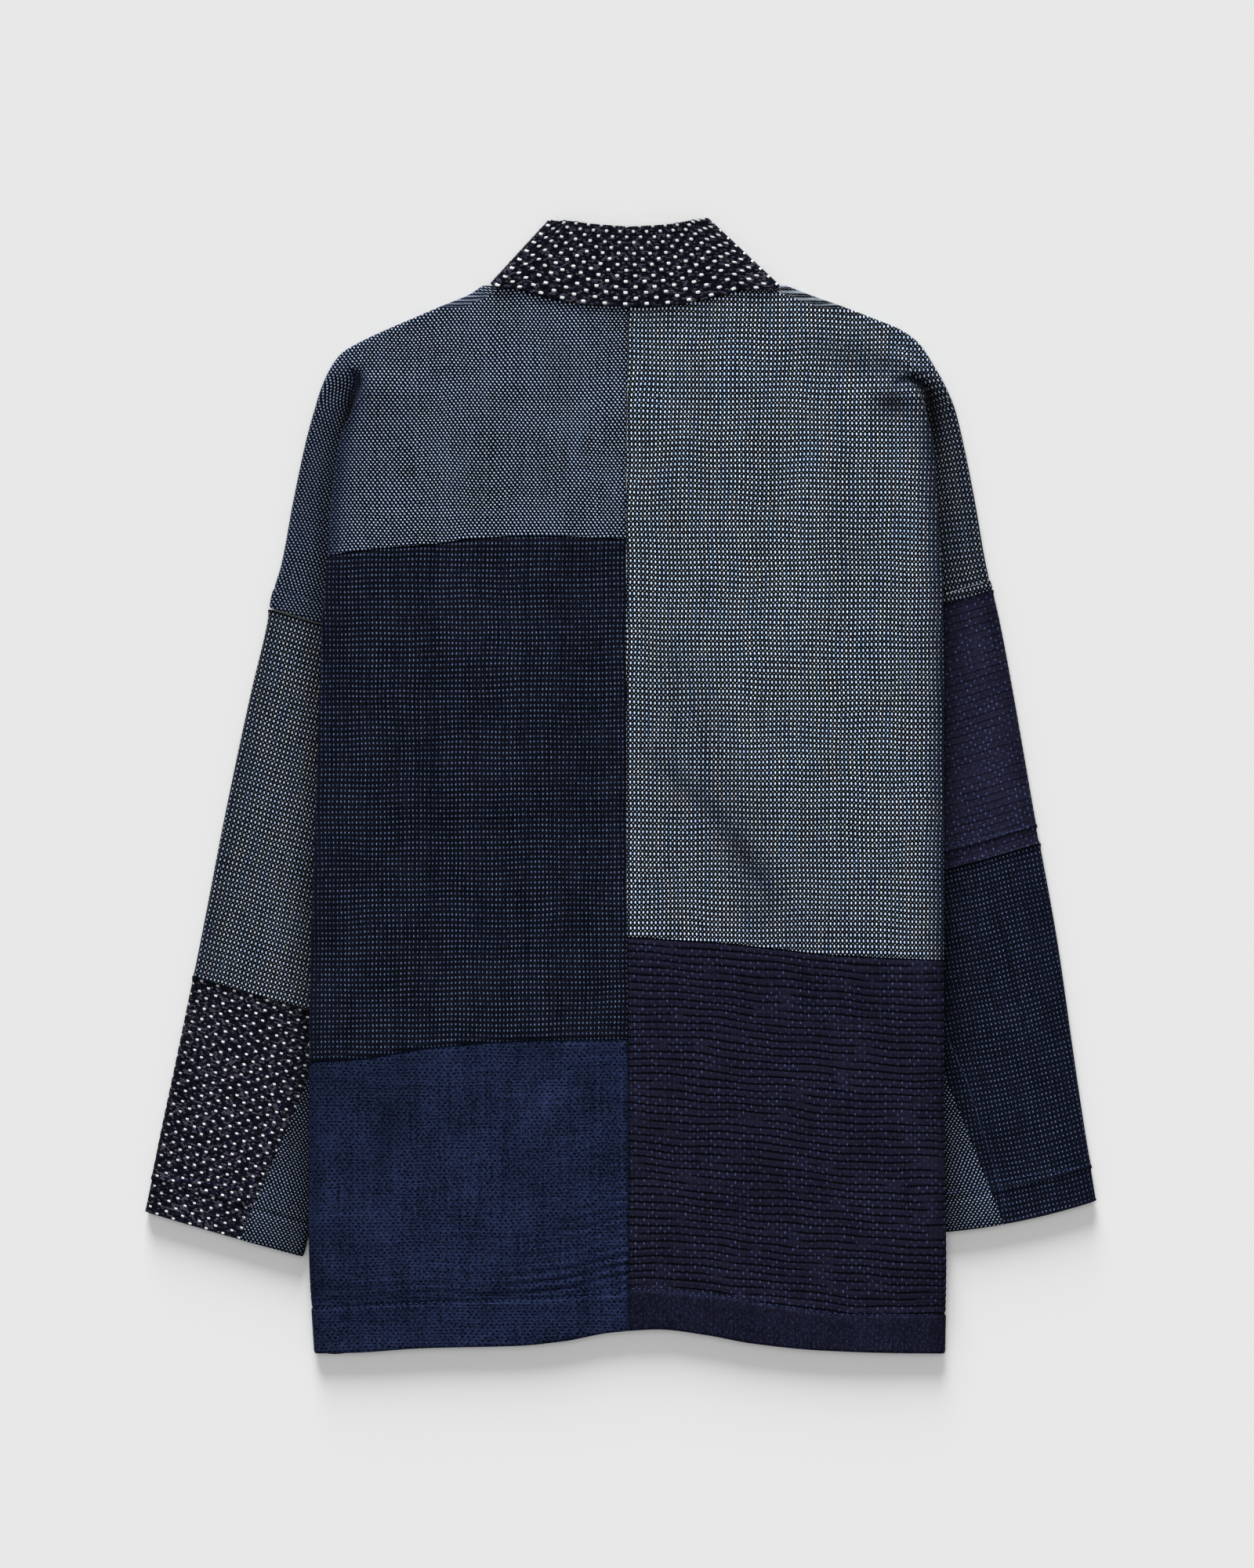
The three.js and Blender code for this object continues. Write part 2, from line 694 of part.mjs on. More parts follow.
function bandRows(side) {
  const level = spread(BAND_LEVEL_Y, BAND_HEM_Y, BAND_ROWS);
  return [...bandLines(side, BAND_SLANTS), ...level.map((y) => bandLine(side, y, y))];
}

const group = new THREE.Group();
group.name = 'patched_jacket';

const yokeSeam = (x) => hemAt(YOKE_SEAM, x);
const leftHemSeam = (x) => hemAt(LEFT_HEM_SEAM, x);
const rightHemSeam = (x) => hemAt(RIGHT_HEM_SEAM, x);
const backHem = (x) => hemAt(BACK_HEM, x) + HALF_SEAM;
const even = (cells) => spread(0, 1, cells);
const lateSteps = chain([[0, 0.6, 5], [0.6, 1, 6]]);
const MIDDLE_ROWS = 13;
const RIGHT_ROWS = 10;

group.add(wall('yoke_left', shoulderRows(LEFT, yokeSeam), CLOTH, DOTTED));
const leftMiddle = backRows(LEFT, BACK_COLUMNS, yokeSeam, leftHemSeam, even(MIDDLE_ROWS));
group.add(wall('back_left_middle', leftMiddle, CLOTH, DASHED));
const leftHem = backRows(LEFT, BACK_COLUMNS, leftHemSeam, backHem, lateSteps);
group.add(wall('back_left_hem', leftHem, CLOTH, PEBBLED));

const shoulderSplit = RIGHT.underTop[1];
const upperRows = shoulderRows(RIGHT, () => shoulderSplit);
const upperCount = upperRows.length - 1;
const splitLine = () => shoulderSplit - 2 * HALF_SEAM;
const lowerPart = backRows(RIGHT, BACK_COLUMNS, splitLine, rightHemSeam, even(RIGHT_ROWS)).slice(1);
const filled = lowerPart.map((row) => [...row, ...upperRows[0].slice(row.length)]);
const inUpper = (i, j) => i < upperCount || j < BACK_COLUMNS.length - 1;
group.add(wall('back_right_upper', [...upperRows, ...filled], CLOTH, GRAINED, inUpper));
const rightHem = backRows(RIGHT, BACK_COLUMNS, rightHemSeam, backHem, lateSteps);
group.add(wall('back_right_hem', rightHem, CLOTH, RIBBED));

group.add(wall('front_left', frontRows(LEFT), CLOTH, PEBBLED));
group.add(wall('front_right', frontRows(RIGHT), CLOTH, DOTTED));

const leftCollar = collarHalf(LEFT).reverse();
const rightCollar = collarHalf(RIGHT).slice(1);
group.add(wall('collar_back', [...leftCollar, ...rightCollar], BAND, KNOBBED));
group.add(wall('collar_front_left', bandRows(LEFT), BAND, KNOBBED));
group.add(wall('collar_front_right', bandRows(RIGHT), BAND, KNOBBED));

group.add(wall('sleeve_left_middle', sleeveRows(LEFT, LEFT.upperRows), CLOTH, GRAINED));
group.add(wall('sleeve_left_cuff', sleeveRows(LEFT, LEFT.lowerRows), CLOTH, KNOBBED));
group.add(wall('sleeve_left_gusset', gussetRows(LEFT), CLOTH, DOTTED));
group.add(wall('sleeve_right_upper', sleeveRows(RIGHT, RIGHT.upperRows), CLOTH, RIBBED));
group.add(wall('sleeve_right_lower', sleeveRows(RIGHT, RIGHT.lowerRows), CLOTH, DASHED));
group.add(wall('sleeve_right_gusset', gussetRows(RIGHT), CLOTH, DOTTED));

export default group;
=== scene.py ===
import math
from types import SimpleNamespace

import bpy
import numpy as np
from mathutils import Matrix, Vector


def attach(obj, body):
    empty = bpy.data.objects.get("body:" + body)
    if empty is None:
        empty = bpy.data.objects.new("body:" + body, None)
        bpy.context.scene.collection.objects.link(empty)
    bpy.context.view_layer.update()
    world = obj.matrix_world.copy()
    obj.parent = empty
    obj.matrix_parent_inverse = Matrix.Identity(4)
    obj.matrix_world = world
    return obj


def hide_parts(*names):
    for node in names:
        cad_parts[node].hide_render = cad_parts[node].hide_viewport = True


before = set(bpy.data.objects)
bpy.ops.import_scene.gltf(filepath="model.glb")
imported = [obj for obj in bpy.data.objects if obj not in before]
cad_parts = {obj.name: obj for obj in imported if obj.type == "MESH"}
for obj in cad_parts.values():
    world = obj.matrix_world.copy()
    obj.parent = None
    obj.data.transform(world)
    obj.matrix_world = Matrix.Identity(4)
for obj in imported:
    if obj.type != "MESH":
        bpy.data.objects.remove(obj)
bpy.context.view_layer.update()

# A patched cotton jacket laid flat with its back up. Plan units count right and down over the
# laid-out cloth; heights are millimetres over the surface; the scene is in metres.
UNIT = 0.6
PLAN_MIDDLE_X = 792
PLAN_MIDDLE_Y = 1002
MM = 0.001

CLOTH = 1.5
BAND = 3
HALF_SEAM = 0.25
HIDDEN_GAP = 1.4
BAND_GAP = 0.4
FRONT_Z = 0.75
SLEEVE_Z = 8.75
UNDER_RISE = 3.7
BACK_RISE = 7.5
BAND_Z = 1.5
COLLAR_Z = 10
NECK_Y = 370
SHOULDER_TOP_Y = 364
LEVEL_Y = 610
NECK_BASE_Y = 392
FLAT_IN = 15
FLAT_OUT = 5
SLANT = 1.1
LIFT_FADE = 110
STEP_START = 1
STEP_RUN = 26
MIN_TUCK = 14
SETTLE_TOP = 1605
SETTLE_END = 1700
CENTRE_X = 802
CALM_Y = 430
FREE_REACH = (6, 60)
FINE_REACH = (-2, 8)
CREASE_RISE = 45
FOLD_START = 25
NECK_ROWS = 10
CHEST_ROWS = 79
LATE_CROWD = 1.5
BAND_CELLS = 44
BAND_HUMP = 0.7


def table(names, rows):
    return {name: np.array(column, float) for name, column in zip(names, zip(*rows))}


LEFT_LINES = table(["y", "outer", "edge"], [
    (357, 632, 655), (364, 616, 638), (375, 599, 624), (390, 563, 591), (405, 528, 556),
    (420, 493, 520), (435, 461, 487), (450, 436, 461), (465, 424, 447), (480, 416, 451),
    (500, 408, 450), (520, 402, 445), (560, 391, 435), (640, 374, 424), (720, 359, 419),
    (760, 347, 415), (800, 340, 412), (880, 321, 409), (1040, 287, 404), (1200, 256, 398),
    (1360, 223, 396), (1440, 206, 395), (1544, 185, 395), (1640, 165, 397), (1730, 150, 402),
])
RIGHT_LINES = table(["y", "outer", "edge"], [
    (357, 985, 962), (364, 1004, 978), (375, 1032, 1003), (390, 1074, 1044), (405, 1113, 1085),
    (420, 1149, 1123), (435, 1170, 1147), (450, 1182, 1157), (465, 1191, 1162), (480, 1200, 1166),
    (498, 1209, 1182), (520, 1218, 1186), (560, 1228, 1189), (640, 1244, 1195), (720, 1258, 1200),
    (760, 1268, 1202), (800, 1277, 1202), (880, 1292, 1203), (1040, 1320, 1203), (1200, 1349, 1203),
    (1360, 1372, 1203), (1440, 1384, 1204), (1530, 1399, 1205), (1640, 1416, 1206), (1730, 1430, 1205),
])
CENTRE_LINE = table(["y", "x"], [(392, 802), (687, 799), (1195, 800), (1325, 801), (1730, 802)])
LEFT_NECK = table(["y", "x"], [(357, 636), (364, 653), (376, 684), (387, 735), (391, 775), (392, 802)])
RIGHT_NECK = table(["y", "x"], [(357, 980), (364, 962), (380, 909), (390, 852), (391.5, 822), (392, 802)])
LEFT_BAND = table(["y", "seam", "free"], [
    (286, 612, 705), (366, 631.2, 715), (382, 635.2, 718), (700, 672, 757), (1000, 691, 786),
    (1200, 696, 791), (1730, 696, 791),
])
RIGHT_BAND = table(["y", "seam", "free"], [
    (286, 1012, 899), (366, 991.2, 890), (382, 986.3, 887), (700, 932, 835), (1000, 901, 803),
    (1200, 893, 796), (1730, 892, 796),
])
BACK_HEIGHT = table(["y", "z"], [(357, 8), (420, 9.4), (560, 10.6), (760, 11.4), (1500, 11.2), (1730, 9.4)])
SHOULDER_HEIGHT = table(["y", "z"], [(357, 7.2), (400, 8.2), (450, SLEEVE_Z), (1730, SLEEVE_Z)])
BACK_HEM = table(["x", "y"], [
    (395, 1727), (450, 1726), (540, 1720), (660, 1717), (720, 1711), (780, 1700), (840, 1696),
    (900, 1703), (960, 1714), (1050, 1723), (1150, 1726.5), (1210, 1727),
])
HEM_STITCHES = table(["x", "y"], [
    (395, 1668), (572, 1661), (788, 1651), (802, 1644), (913, 1652), (990, 1665), (1085, 1677), (1210, 1677),
])
FRONT_HEM = table(["x", "y"], [
    (395, 1725), (425, 1730), (450, 1727), (500, 1714), (700, 1700), (792, 1688),
    (900, 1696), (963, 1714), (1050, 1725), (1150, 1728), (1210, 1724),
])
YOKE_SEAM = table(["x", "y"], [
    (421, 709), (441, 705), (480, 700), (554, 694), (600, 687), (677, 683), (799, 687),
])
LEFT_HEM_SEAM = table(["x", "y"], [(390, 1354), (473, 1348), (539, 1337), (672, 1327), (801, 1325)])
RIGHT_HEM_SEAM = table(["x", "y"], [(800, 1195), (913, 1202), (990, 1210), (1066, 1218), (1205, 1224)])
LEFT_TOP = table(["f", "x", "y"], [(0, 802, 289), (0.5, 752, 285), (0.82, 722, 281.5), (1, 705.2, 281.5)])
RIGHT_TOP = table(["f", "x", "y"], [(0, 802, 289), (0.5, 856, 285.5), (0.82, 884, 280.5), (1, 900, 278.5)])
BAND_STARTS = table(["seam", "free"], [(382, 308), (394, 345), (412, 385)])
BAND_TURNS = table(["seam", "free"], [(450, 438), (500, 496)])
BAND_LEVEL_Y = 560
COLLAR_GAP = 0.9
CORNER_LIFT = 2.5

LEFT = SimpleNamespace(
    out=-1, lines=LEFT_LINES, neck=LEFT_NECK, band=LEFT_BAND, top=LEFT_TOP,
    crease_top=462, crease_full=568, crease_x=447, arm_outer=(351, 777), arm_inner=(560, 841),
    under_top=(421, 705), cuff_outer_y=1544, cuff_inner=(385, 1601), cuff_bow=1,
    gusset_top=0.382, gusset_wide=86, split=0.611,
    fold_seam=(626, 364), fold_top=(700, 281), fold_in=(0.745, 0.667), fold_shift=1.6,
)
RIGHT = SimpleNamespace(
    out=1, lines=RIGHT_LINES, neck=RIGHT_NECK, band=RIGHT_BAND, top=RIGHT_TOP,
    crease_top=466, crease_full=568, crease_x=1163, arm_outer=(1266, 752), arm_inner=(1042, 819),
    under_top=(1202, 771), cuff_outer_y=1530, cuff_inner=(1204, 1570), cuff_bow=6,
    gusset_top=0.38, gusset_wide=82, split=0.416,
    fold_seam=(996, 365), fold_top=(905, 277), fold_in=(-0.694, 0.72), fold_shift=3.6,
)

# Soft folds of the back: middle, half length, half width, turn, rise.
BACK_FOLDS = table(["x", "y", "long", "wide", "turn", "rise"], [
    (905, 860, 90, 34, 62, -1.2), (960, 1040, 80, 30, 48, -1.0), (1040, 930, 110, 38, 66, 0.9),
    (700, 560, 120, 40, 12, 0.7), (560, 900, 140, 42, 84, 0.7), (680, 1110, 120, 40, 100, -0.8),
    (600, 1480, 130, 40, 80, 0.8), (960, 1500, 140, 40, 96, 0.7), (730, 1620, 90, 34, 70, -0.7),
    (1060, 620, 100, 36, 130, 0.8),
])

# Finer creases that only the shown cloth has.
FINE_FOLDS = table(["x", "y", "long", "wide", "turn", "rise"], [
    (505, 1400, 95, 22, 104, -0.9), (560, 1390, 80, 24, 96, 0.7), (640, 1470, 70, 20, 60, -0.4),
    (700, 1420, 60, 22, 118, 0.5), (470, 1560, 70, 22, 80, 0.5), (610, 1590, 80, 18, 172, -0.4),
    (750, 1560, 50, 12, 165, -0.5), (735, 1610, 55, 11, 168, 0.5), (640, 1640, 60, 10, 176, 0.5),
    (500, 1640, 55, 10, 4, 0.4), (860, 850, 46, 16, 58, -0.8), (915, 830, 50, 15, 66, 0.6),
    (905, 905, 60, 18, 44, -0.6), (940, 1035, 60, 18, 40, -0.7), (985, 1000, 60, 20, 46, 0.5),
    (1080, 700, 90, 22, 120, 0.4), (1100, 1100, 80, 24, 84, 0.4), (880, 620, 90, 24, 98, -0.3),
    (720, 900, 90, 20, 88, -0.4), (760, 860, 100, 14, 90, 0.4), (640, 960, 80, 24, 110, 0.3),
    (520, 1080, 100, 26, 78, -0.4), (610, 1230, 90, 22, 10, -0.4), (720, 1250, 60, 18, 170, 0.4),
    (520, 600, 60, 20, 130, -0.4), (600, 520, 80, 24, 140, 0.4), (700, 640, 70, 20, 20, -0.3),
    (900, 1320, 90, 16, 6, -0.4), (1050, 1400, 100, 18, 4, 0.4), (930, 1580, 80, 14, 174, 0.4),
    (1110, 1560, 60, 16, 100, -0.4), (870, 1640, 50, 9, 8, -0.5), (1120, 1650, 60, 9, 176, 0.5),
])
# Darker and lighter patches: painted shade in the hollows of creases and in the crease heads, and painted
# light where share is below zero; share is how much darker.
TONE_AND_FOLD_SHADE = table(["x", "y", "long", "wide", "turn", "share"], [
    (890, 905, 105, 28, 60, 0.25), (960, 1105, 120, 30, 62, 0.28), (1110, 462, 70, 24, 20, 0.42),
    (1142, 516, 26, 20, 0, 0.5), (1150, 484, 16, 5, -18, 0.5), (1176, 490, 14, 6, 40, 0.55),
    (1196, 520, 26, 11, 72, 0.5), (1166, 512, 10, 8, 50, -0.35), (848, 1010, 170, 34, 84, 0.16),
    (876, 1003, 54, 13, 42, 0.3), (944, 1080, 64, 14, 54, 0.36), (952, 1160, 32, 14, 80, 0.2),
    (1010, 1130, 190, 90, 30, 0.1), (452, 480, 14, 7, 60, 0.5), (447, 510, 30, 9, 104, 0.5),
    (868, 402, 52, 13, 0, 0.3), (1080, 640, 120, 40, 84, 0.12), (860, 620, 40, 90, 0, 0.1),
    (500, 1440, 92, 19, 109, 0.35), (700, 1400, 50, 26, 120, -0.2), (590, 1560, 70, 24, 100, -0.14),
    (640, 1660, 150, 16, 178, 0.15), (460, 500, 28, 14, 110, 0.35), (620, 1180, 60, 26, 84, 0.14),
    (540, 1000, 90, 22, 92, 0.14), (1000, 1500, 120, 60, 30, 0.16),
])
# Deep shade in the hooked heads of the two side creases; share is how much darker.
CREASE_SHADE = table(["x", "y", "long", "wide", "turn", "share"], [
    (1157, 483, 14, 6, 8, 0.55), (1174, 492, 12, 7, 38, 0.7), (1186, 509, 14, 7.5, 60, 0.75),
    (1191, 533, 22, 7.5, 78, 0.7), (1196, 566, 28, 7, 80, 0.45), (1138, 514, 22, 13, 15, 0.68),
    (445, 600, 22, 60, 0, 0.12), (452, 473, 12, 6, 38, 0.5), (459, 486, 9, 5, 100, 0.6),
    (452, 507, 20, 6, 110, 0.6), (443, 535, 20, 6, 106, 0.5), (500, 520, 60, 40, 110, 0.15),
    (660, 1650, 130, 8, 178, 0.2),
])
# The curled heads of the two side creases.
HEAD_FOLDS = table(["x", "y", "long", "wide", "turn", "rise"], [
    (1152, 488, 13, 5, -20, -2.4), (1170, 488, 12, 6, 30, -3.0), (1184, 503, 14, 6, 58, -2.6),
    (1143, 517, 15, 11, 70, -1.9), (1168, 507, 15, 8, 40, 1.6), (1120, 498, 26, 12, 6, 0.7),
    (1160, 465, 26, 7, 30, 1.0), (459, 478, 11, 5, 118, -2.4), (456, 494, 13, 5.5, 100, -2.0),
    (475, 492, 13, 9, 120, 1.2), (488, 520, 18, 13, 110, -0.8), (440, 476, 16, 10, 120, 0.9),
    (1192, 515, 14, 6, 74, -1.6), (448, 512, 16, 6, 104, -1.6), (1140, 440, 40, 12, 24, -0.5),
])


def lerp(a, b, f):
    return a + (b - a) * f


def smooth(a, b, v):
    f = np.clip((v - a) / (b - a), 0, 1)
    return f * f * (3 - 2 * f)


def read(rows, name, at, key="y"):
    """A table column as a smooth curve through its rows."""
    xs, ys = rows[key], rows[name]
    at = np.clip(at, xs[0], xs[-1])
    slopes = np.diff(ys) / np.diff(xs)
    a, b = slopes[:-1], slopes[1:]
    inner = np.where(a * b > 0, 2 * a * b / np.where(a + b == 0, 1, a + b), 0)
    tangents = np.concatenate([slopes[:1], inner, slopes[-1:]])
    i = np.clip(np.searchsorted(xs, at, side="left") - 1, 0, len(xs) - 2)
    h = xs[i + 1] - xs[i]
    f = (at - xs[i]) / h
    g = 1 - f
    start = ys[i] * (1 + 2 * f) * g * g + tangents[i] * h * f * g * g
    return start + ys[i + 1] * f * f * (3 - 2 * f) - tangents[i + 1] * h * f * f * g


def hem_at(rows, x):
    return read(rows, "y", x, "x")


def edge_at(side, y):
    return read(side.lines, "edge", y)


def outer_at(side, y):
    return read(side.lines, "outer", y)


def centre_at(side, y):
    x = np.where(y < NECK_BASE_Y, read(side.neck, "x", y), read(CENTRE_LINE, "x", y))
    return x + side.out * HALF_SEAM


def band_seam_at(side, y):
    return read(side.band, "seam", y) + side.out * BAND_GAP


def tuck_at(side, y):
    """The hidden line where the pleat turns back out, and the sleeve's inner edge."""
    (arm_x, arm_y), (end_x, end_y) = side.arm_inner, side.cuff_inner
    high = lerp(side.crease_x, arm_x, np.clip((y - side.crease_top) / (arm_y - side.crease_top), 0, 1))
    low = lerp(arm_x, end_x, (y - arm_y) / (end_y - arm_y))
    line = np.where(y < arm_y, high, low)
    nearest = edge_at(side, y) - side.out * MIN_TUCK
    return np.maximum(line, nearest) if side.out < 0 else np.minimum(line, nearest)


def fold_rise(folds, x, y):
    rise = 0 * x
    for fx, fy, long, wide, turn, height in zip(*folds.values()):
        turn = math.radians(turn)
        along = (x - fx) * math.cos(turn) + (y - fy) * math.sin(turn)
        across = -(x - fx) * math.sin(turn) + (y - fy) * math.cos(turn)
        rise = rise + height * np.exp(-((along / long) ** 2) - (across / wide) ** 2)
    return rise


def levels(side, y):
    rise = smooth(side.crease_top, side.crease_top + CREASE_RISE, y)
    fold = smooth(side.crease_top + FOLD_START, side.crease_full, y)
    held = 1 - smooth(SETTLE_TOP, SETTLE_END, y)
    sleeve = read(SHOULDER_HEIGHT, "z", y)
    back = sleeve + BACK_RISE * rise * held
    under = lerp(FRONT_Z, sleeve + UNDER_RISE * rise, held)
    return SimpleNamespace(
        fold=fold, sleeve=sleeve, back=back, under=under, turn=(back - under) / 2, tuck=(under - sleeve) / 2)


def back_z(side, level, x, y):
    edge = edge_at(side, y)
    inward = np.abs(x - edge)
    depth = np.abs(tuck_at(side, y) - edge)
    lift = 1 - smooth(depth, depth + LIFT_FADE, inward)
    free = smooth(*FREE_REACH, inward) * smooth(NECK_Y, CALM_Y, y)
    base = lerp(read(BACK_HEIGHT, "z", y), level.back, lift) + fold_rise(BACK_FOLDS, x, y) * free
    fine = fold_rise(FINE_FOLDS, x, y) * smooth(*FINE_REACH, inward)
    return base + fine + fold_rise(HEAD_FOLDS, x, y) * (1 - level.fold)


def body_point(side, part, f, y):
    """The cloth runs from the middle of the back out to the edge, turns under, tucks back into
    the shoulder and sleeve, turns under again and runs to the front."""
    o = side.out
    level = levels(side, y)
    edge = edge_at(side, y)
    tuck = tuck_at(side, y)
    turn = level.turn / UNIT
    tuck_turn = level.tuck / UNIT
    outer = outer_at(side, y)
    slope = (outer_at(side, y + 5) - outer_at(side, y - 5)) / 10
    radius = (level.sleeve - FRONT_Z) / 2
    reach = radius / UNIT * np.hypot(1, slope)
    arc = math.pi * f
    slant = 4 * SLANT * level.fold * (1 - level.fold)

    def blend(share, fold_x, z, tip):
        x = lerp(edge + o * lerp(-FLAT_IN, FLAT_OUT, share), fold_x, level.fold)
        return x, z + slant * tip + fold_rise(HEAD_FOLDS, x, y) * (1 - level.fold)

    if part == "back":
        x = lerp(centre_at(side, y), edge - o * lerp(FLAT_IN, turn, level.fold), f)
        return x, back_z(side, level, x, y)
    if part == "turn":
        fold_x = edge - o * turn * (1 - np.sin(arc))
        return blend(f / 3, fold_x, (level.back + level.under) / 2 + level.turn * np.cos(arc), f)
    if part == "under":
        fold_x = lerp(edge - o * turn, tuck + o * tuck_turn, f)
        return blend((1 + f) / 3, fold_x, level.under, 1 - 2 * f)
    if part == "tuck":
        fold_x = tuck + o * tuck_turn * (1 - np.sin(arc))
        return blend((2 + f) / 3, fold_x, (level.under + level.sleeve) / 2 + level.tuck * np.cos(arc), f - 1)
    if part == "sleeve":
        start = lerp(edge + o * FLAT_OUT, tuck + o * tuck_turn, level.fold)
        x = lerp(start, outer - o * reach, f)
        return x, level.sleeve + fold_rise(HEAD_FOLDS, x, y) * (1 - level.fold)
    if part == "outer":
        return outer - o * reach * (1 - np.sin(arc)), (level.sleeve + FRONT_Z) / 2 + radius * np.cos(arc)
    split = lerp((outer - o * reach + band_seam_at(side, y)) / 2, tuck, level.fold)
    if part == "lower":
        return lerp(outer - o * reach, split, f), FRONT_Z + 0 * f * y
    if part == "flap":
        return lerp(edge - o * (turn + HIDDEN_GAP), tuck - o * STEP_START, f), level.under + 0 * f
    if part == "step":
        return tuck - o * (STEP_START + STEP_RUN * f), lerp(level.under, FRONT_Z, smooth(0, 1, f))
    start = split if part == "front" else tuck - o * (STEP_START + STEP_RUN)
    return lerp(start, band_seam_at(side, y), f), FRONT_Z + 0 * f * y


def ease(cells, crowd=0.55):
    """Steps from 0 to 1 that lie closer together at both ends."""
    steps = np.linspace(0, 1, cells + 1)
    return steps - crowd * np.sin(2 * math.pi * steps) / (2 * math.pi)


def columns(stretches):
    """Columns of a section: each stretch of cloth with its number of cells."""
    found = []
    for part, cells in stretches:
        steps = ease(cells) if part == "back" else np.linspace(0, 1, cells + 1)
        found.append((part, steps if not found else steps[1:]))
    return found


def section(side, blocks, ys):
    """Points of the cloth's middle for every column and row; ys has a row for each line across."""
    out, at = [], 0
    for part, steps in blocks:
        y = ys[:, at:at + len(steps)]
        x, z = body_point(side, part, steps[None, :], y)
        out.append(np.stack(np.broadcast_arrays(x, y, z), -1))
        at += len(steps)
    return np.concatenate(out, 1)


def meet(side, part, steps, limit, guess):
    y = np.full(len(steps), float(guess))
    for _ in range(12):
        y = lerp(y, limit(body_point(side, part, steps, y)[0]), 0.7)
    return y


def place(points):
    """Plan units and millimetres to metres."""
    x, y, z = points[..., 0], points[..., 1], points[..., 2]
    return np.stack([(x - PLAN_MIDDLE_X) * UNIT * MM, (PLAN_MIDDLE_Y - y) * UNIT * MM, z * MM], -1)


# Shoulder pieces run over the shoulder from the back to the front.
SHOULDER_COLUMNS = columns([
    ("back", 88), ("turn", 10), ("under", 10), ("tuck", 8), ("sleeve", 34), ("outer", 10), ("lower", 12),
    ("front", 14),
])
BACK_COLUMNS = columns([("back", 88), ("turn", 10)])
FRONT_COLUMNS = columns([("flap", 12), ("step", 10), ("inside", 30)])


def arm_line(side):
    (ax, ay), (bx, by) = side.arm_outer, side.arm_inner
    return lambda x: lerp(ay, by, np.clip((x - ax) / (bx - ax), -0.2, 1))


def under_line(side):
    (ax, ay), (bx, by) = side.under_top, side.arm_inner
    return lambda x: lerp(ay, by, np.clip((x - ax) / (bx - ax), 0, 1))


def shoulder_end(side, part, steps, back_seam):
    arm, under = arm_line(side), under_line(side)
    guess = side.arm_inner[1]
    if part == "back":
        return meet(side, part, steps, lambda x: back_seam(x) - HALF_SEAM, back_seam(edge_at(side, guess)))
    if part == "turn":
        return np.full(len(steps), back_seam(edge_at(side, guess)) - HALF_SEAM)
    if part == "under":
        return meet(side, part, steps, lambda x: under(x) - HIDDEN_GAP, guess)
    if part in ("tuck", "front"):
        return np.full(len(steps), guess - HIDDEN_GAP)
    return meet(side, part, steps, lambda x: arm(x) - HALF_SEAM, side.arm_outer[1])


def shoulder_rows(side, back_seam, late):
    neck = np.linspace(SHOULDER_TOP_Y, NECK_BASE_Y, NECK_ROWS + 1)
    early = np.concatenate([neck, np.linspace(NECK_BASE_Y, LEVEL_Y, CHEST_ROWS + 1)[1:]])
    ends = np.concatenate([shoulder_end(side, part, steps, back_seam) for part, steps in SHOULDER_COLUMNS])
    top = np.repeat(early[:, None], len(ends), 1)
    steps = 1 - (1 - np.linspace(0, 1, late + 1)) ** LATE_CROWD
    low = LEVEL_Y + steps[1:, None] * (ends - LEVEL_Y)[None, :]
    return np.concatenate([top, low])


def back_rows(side, start, end, rows):
    middle = side.arm_inner[0]

    def line(limit, shift):
        level = lambda x: limit(x) + shift
        return np.concatenate([meet(side, *column, level, limit(middle)) for column in BACK_COLUMNS])

    tops, ends = line(start, HALF_SEAM), line(end, -HALF_SEAM)
    return tops + ease(rows)[:, None] * (ends - tops)[None, :]


def front_rows(side, rows):
    under = under_line(side)
    tops, ends = [], []
    for part, steps in FRONT_COLUMNS:
        if part == "flap":
            tops.append(meet(side, part, steps, lambda x: under(x) + HIDDEN_GAP, side.arm_inner[1]))
        else:
            tops.append(np.full(len(steps), side.arm_inner[1] + HALF_SEAM))
        ends.append(meet(side, part, steps, lambda x: hem_at(FRONT_HEM, x), 1715))
    tops, ends = np.concatenate(tops), np.concatenate(ends)
    return tops + np.linspace(0, 1, rows + 1)[:, None] * (ends - tops)[None, :]


# Sleeves: v runs from the armhole to the cuff, way is the distance round the tube from its inner edge.
SLEEVE_TURN = (SLEEVE_Z - FRONT_Z) / 2 / UNIT
QUARTER = math.pi * SLEEVE_TURN / 2


def sleeve_ends(side, v):
    outer_y = lerp(side.arm_outer[1], side.cuff_outer_y, v)
    outer_x = outer_at(side, outer_y)
    inner_x = lerp(side.arm_inner[0], side.cuff_inner[0], v)
    inner_y = lerp(side.arm_inner[1], side.cuff_inner[1], v)
    return outer_x, outer_y, inner_x, inner_y, np.hypot(outer_x - inner_x, outer_y - inner_y)


def half_round(side, v):
    return 2 * QUARTER + sleeve_ends(side, v)[4] - 2 * SLEEVE_TURN


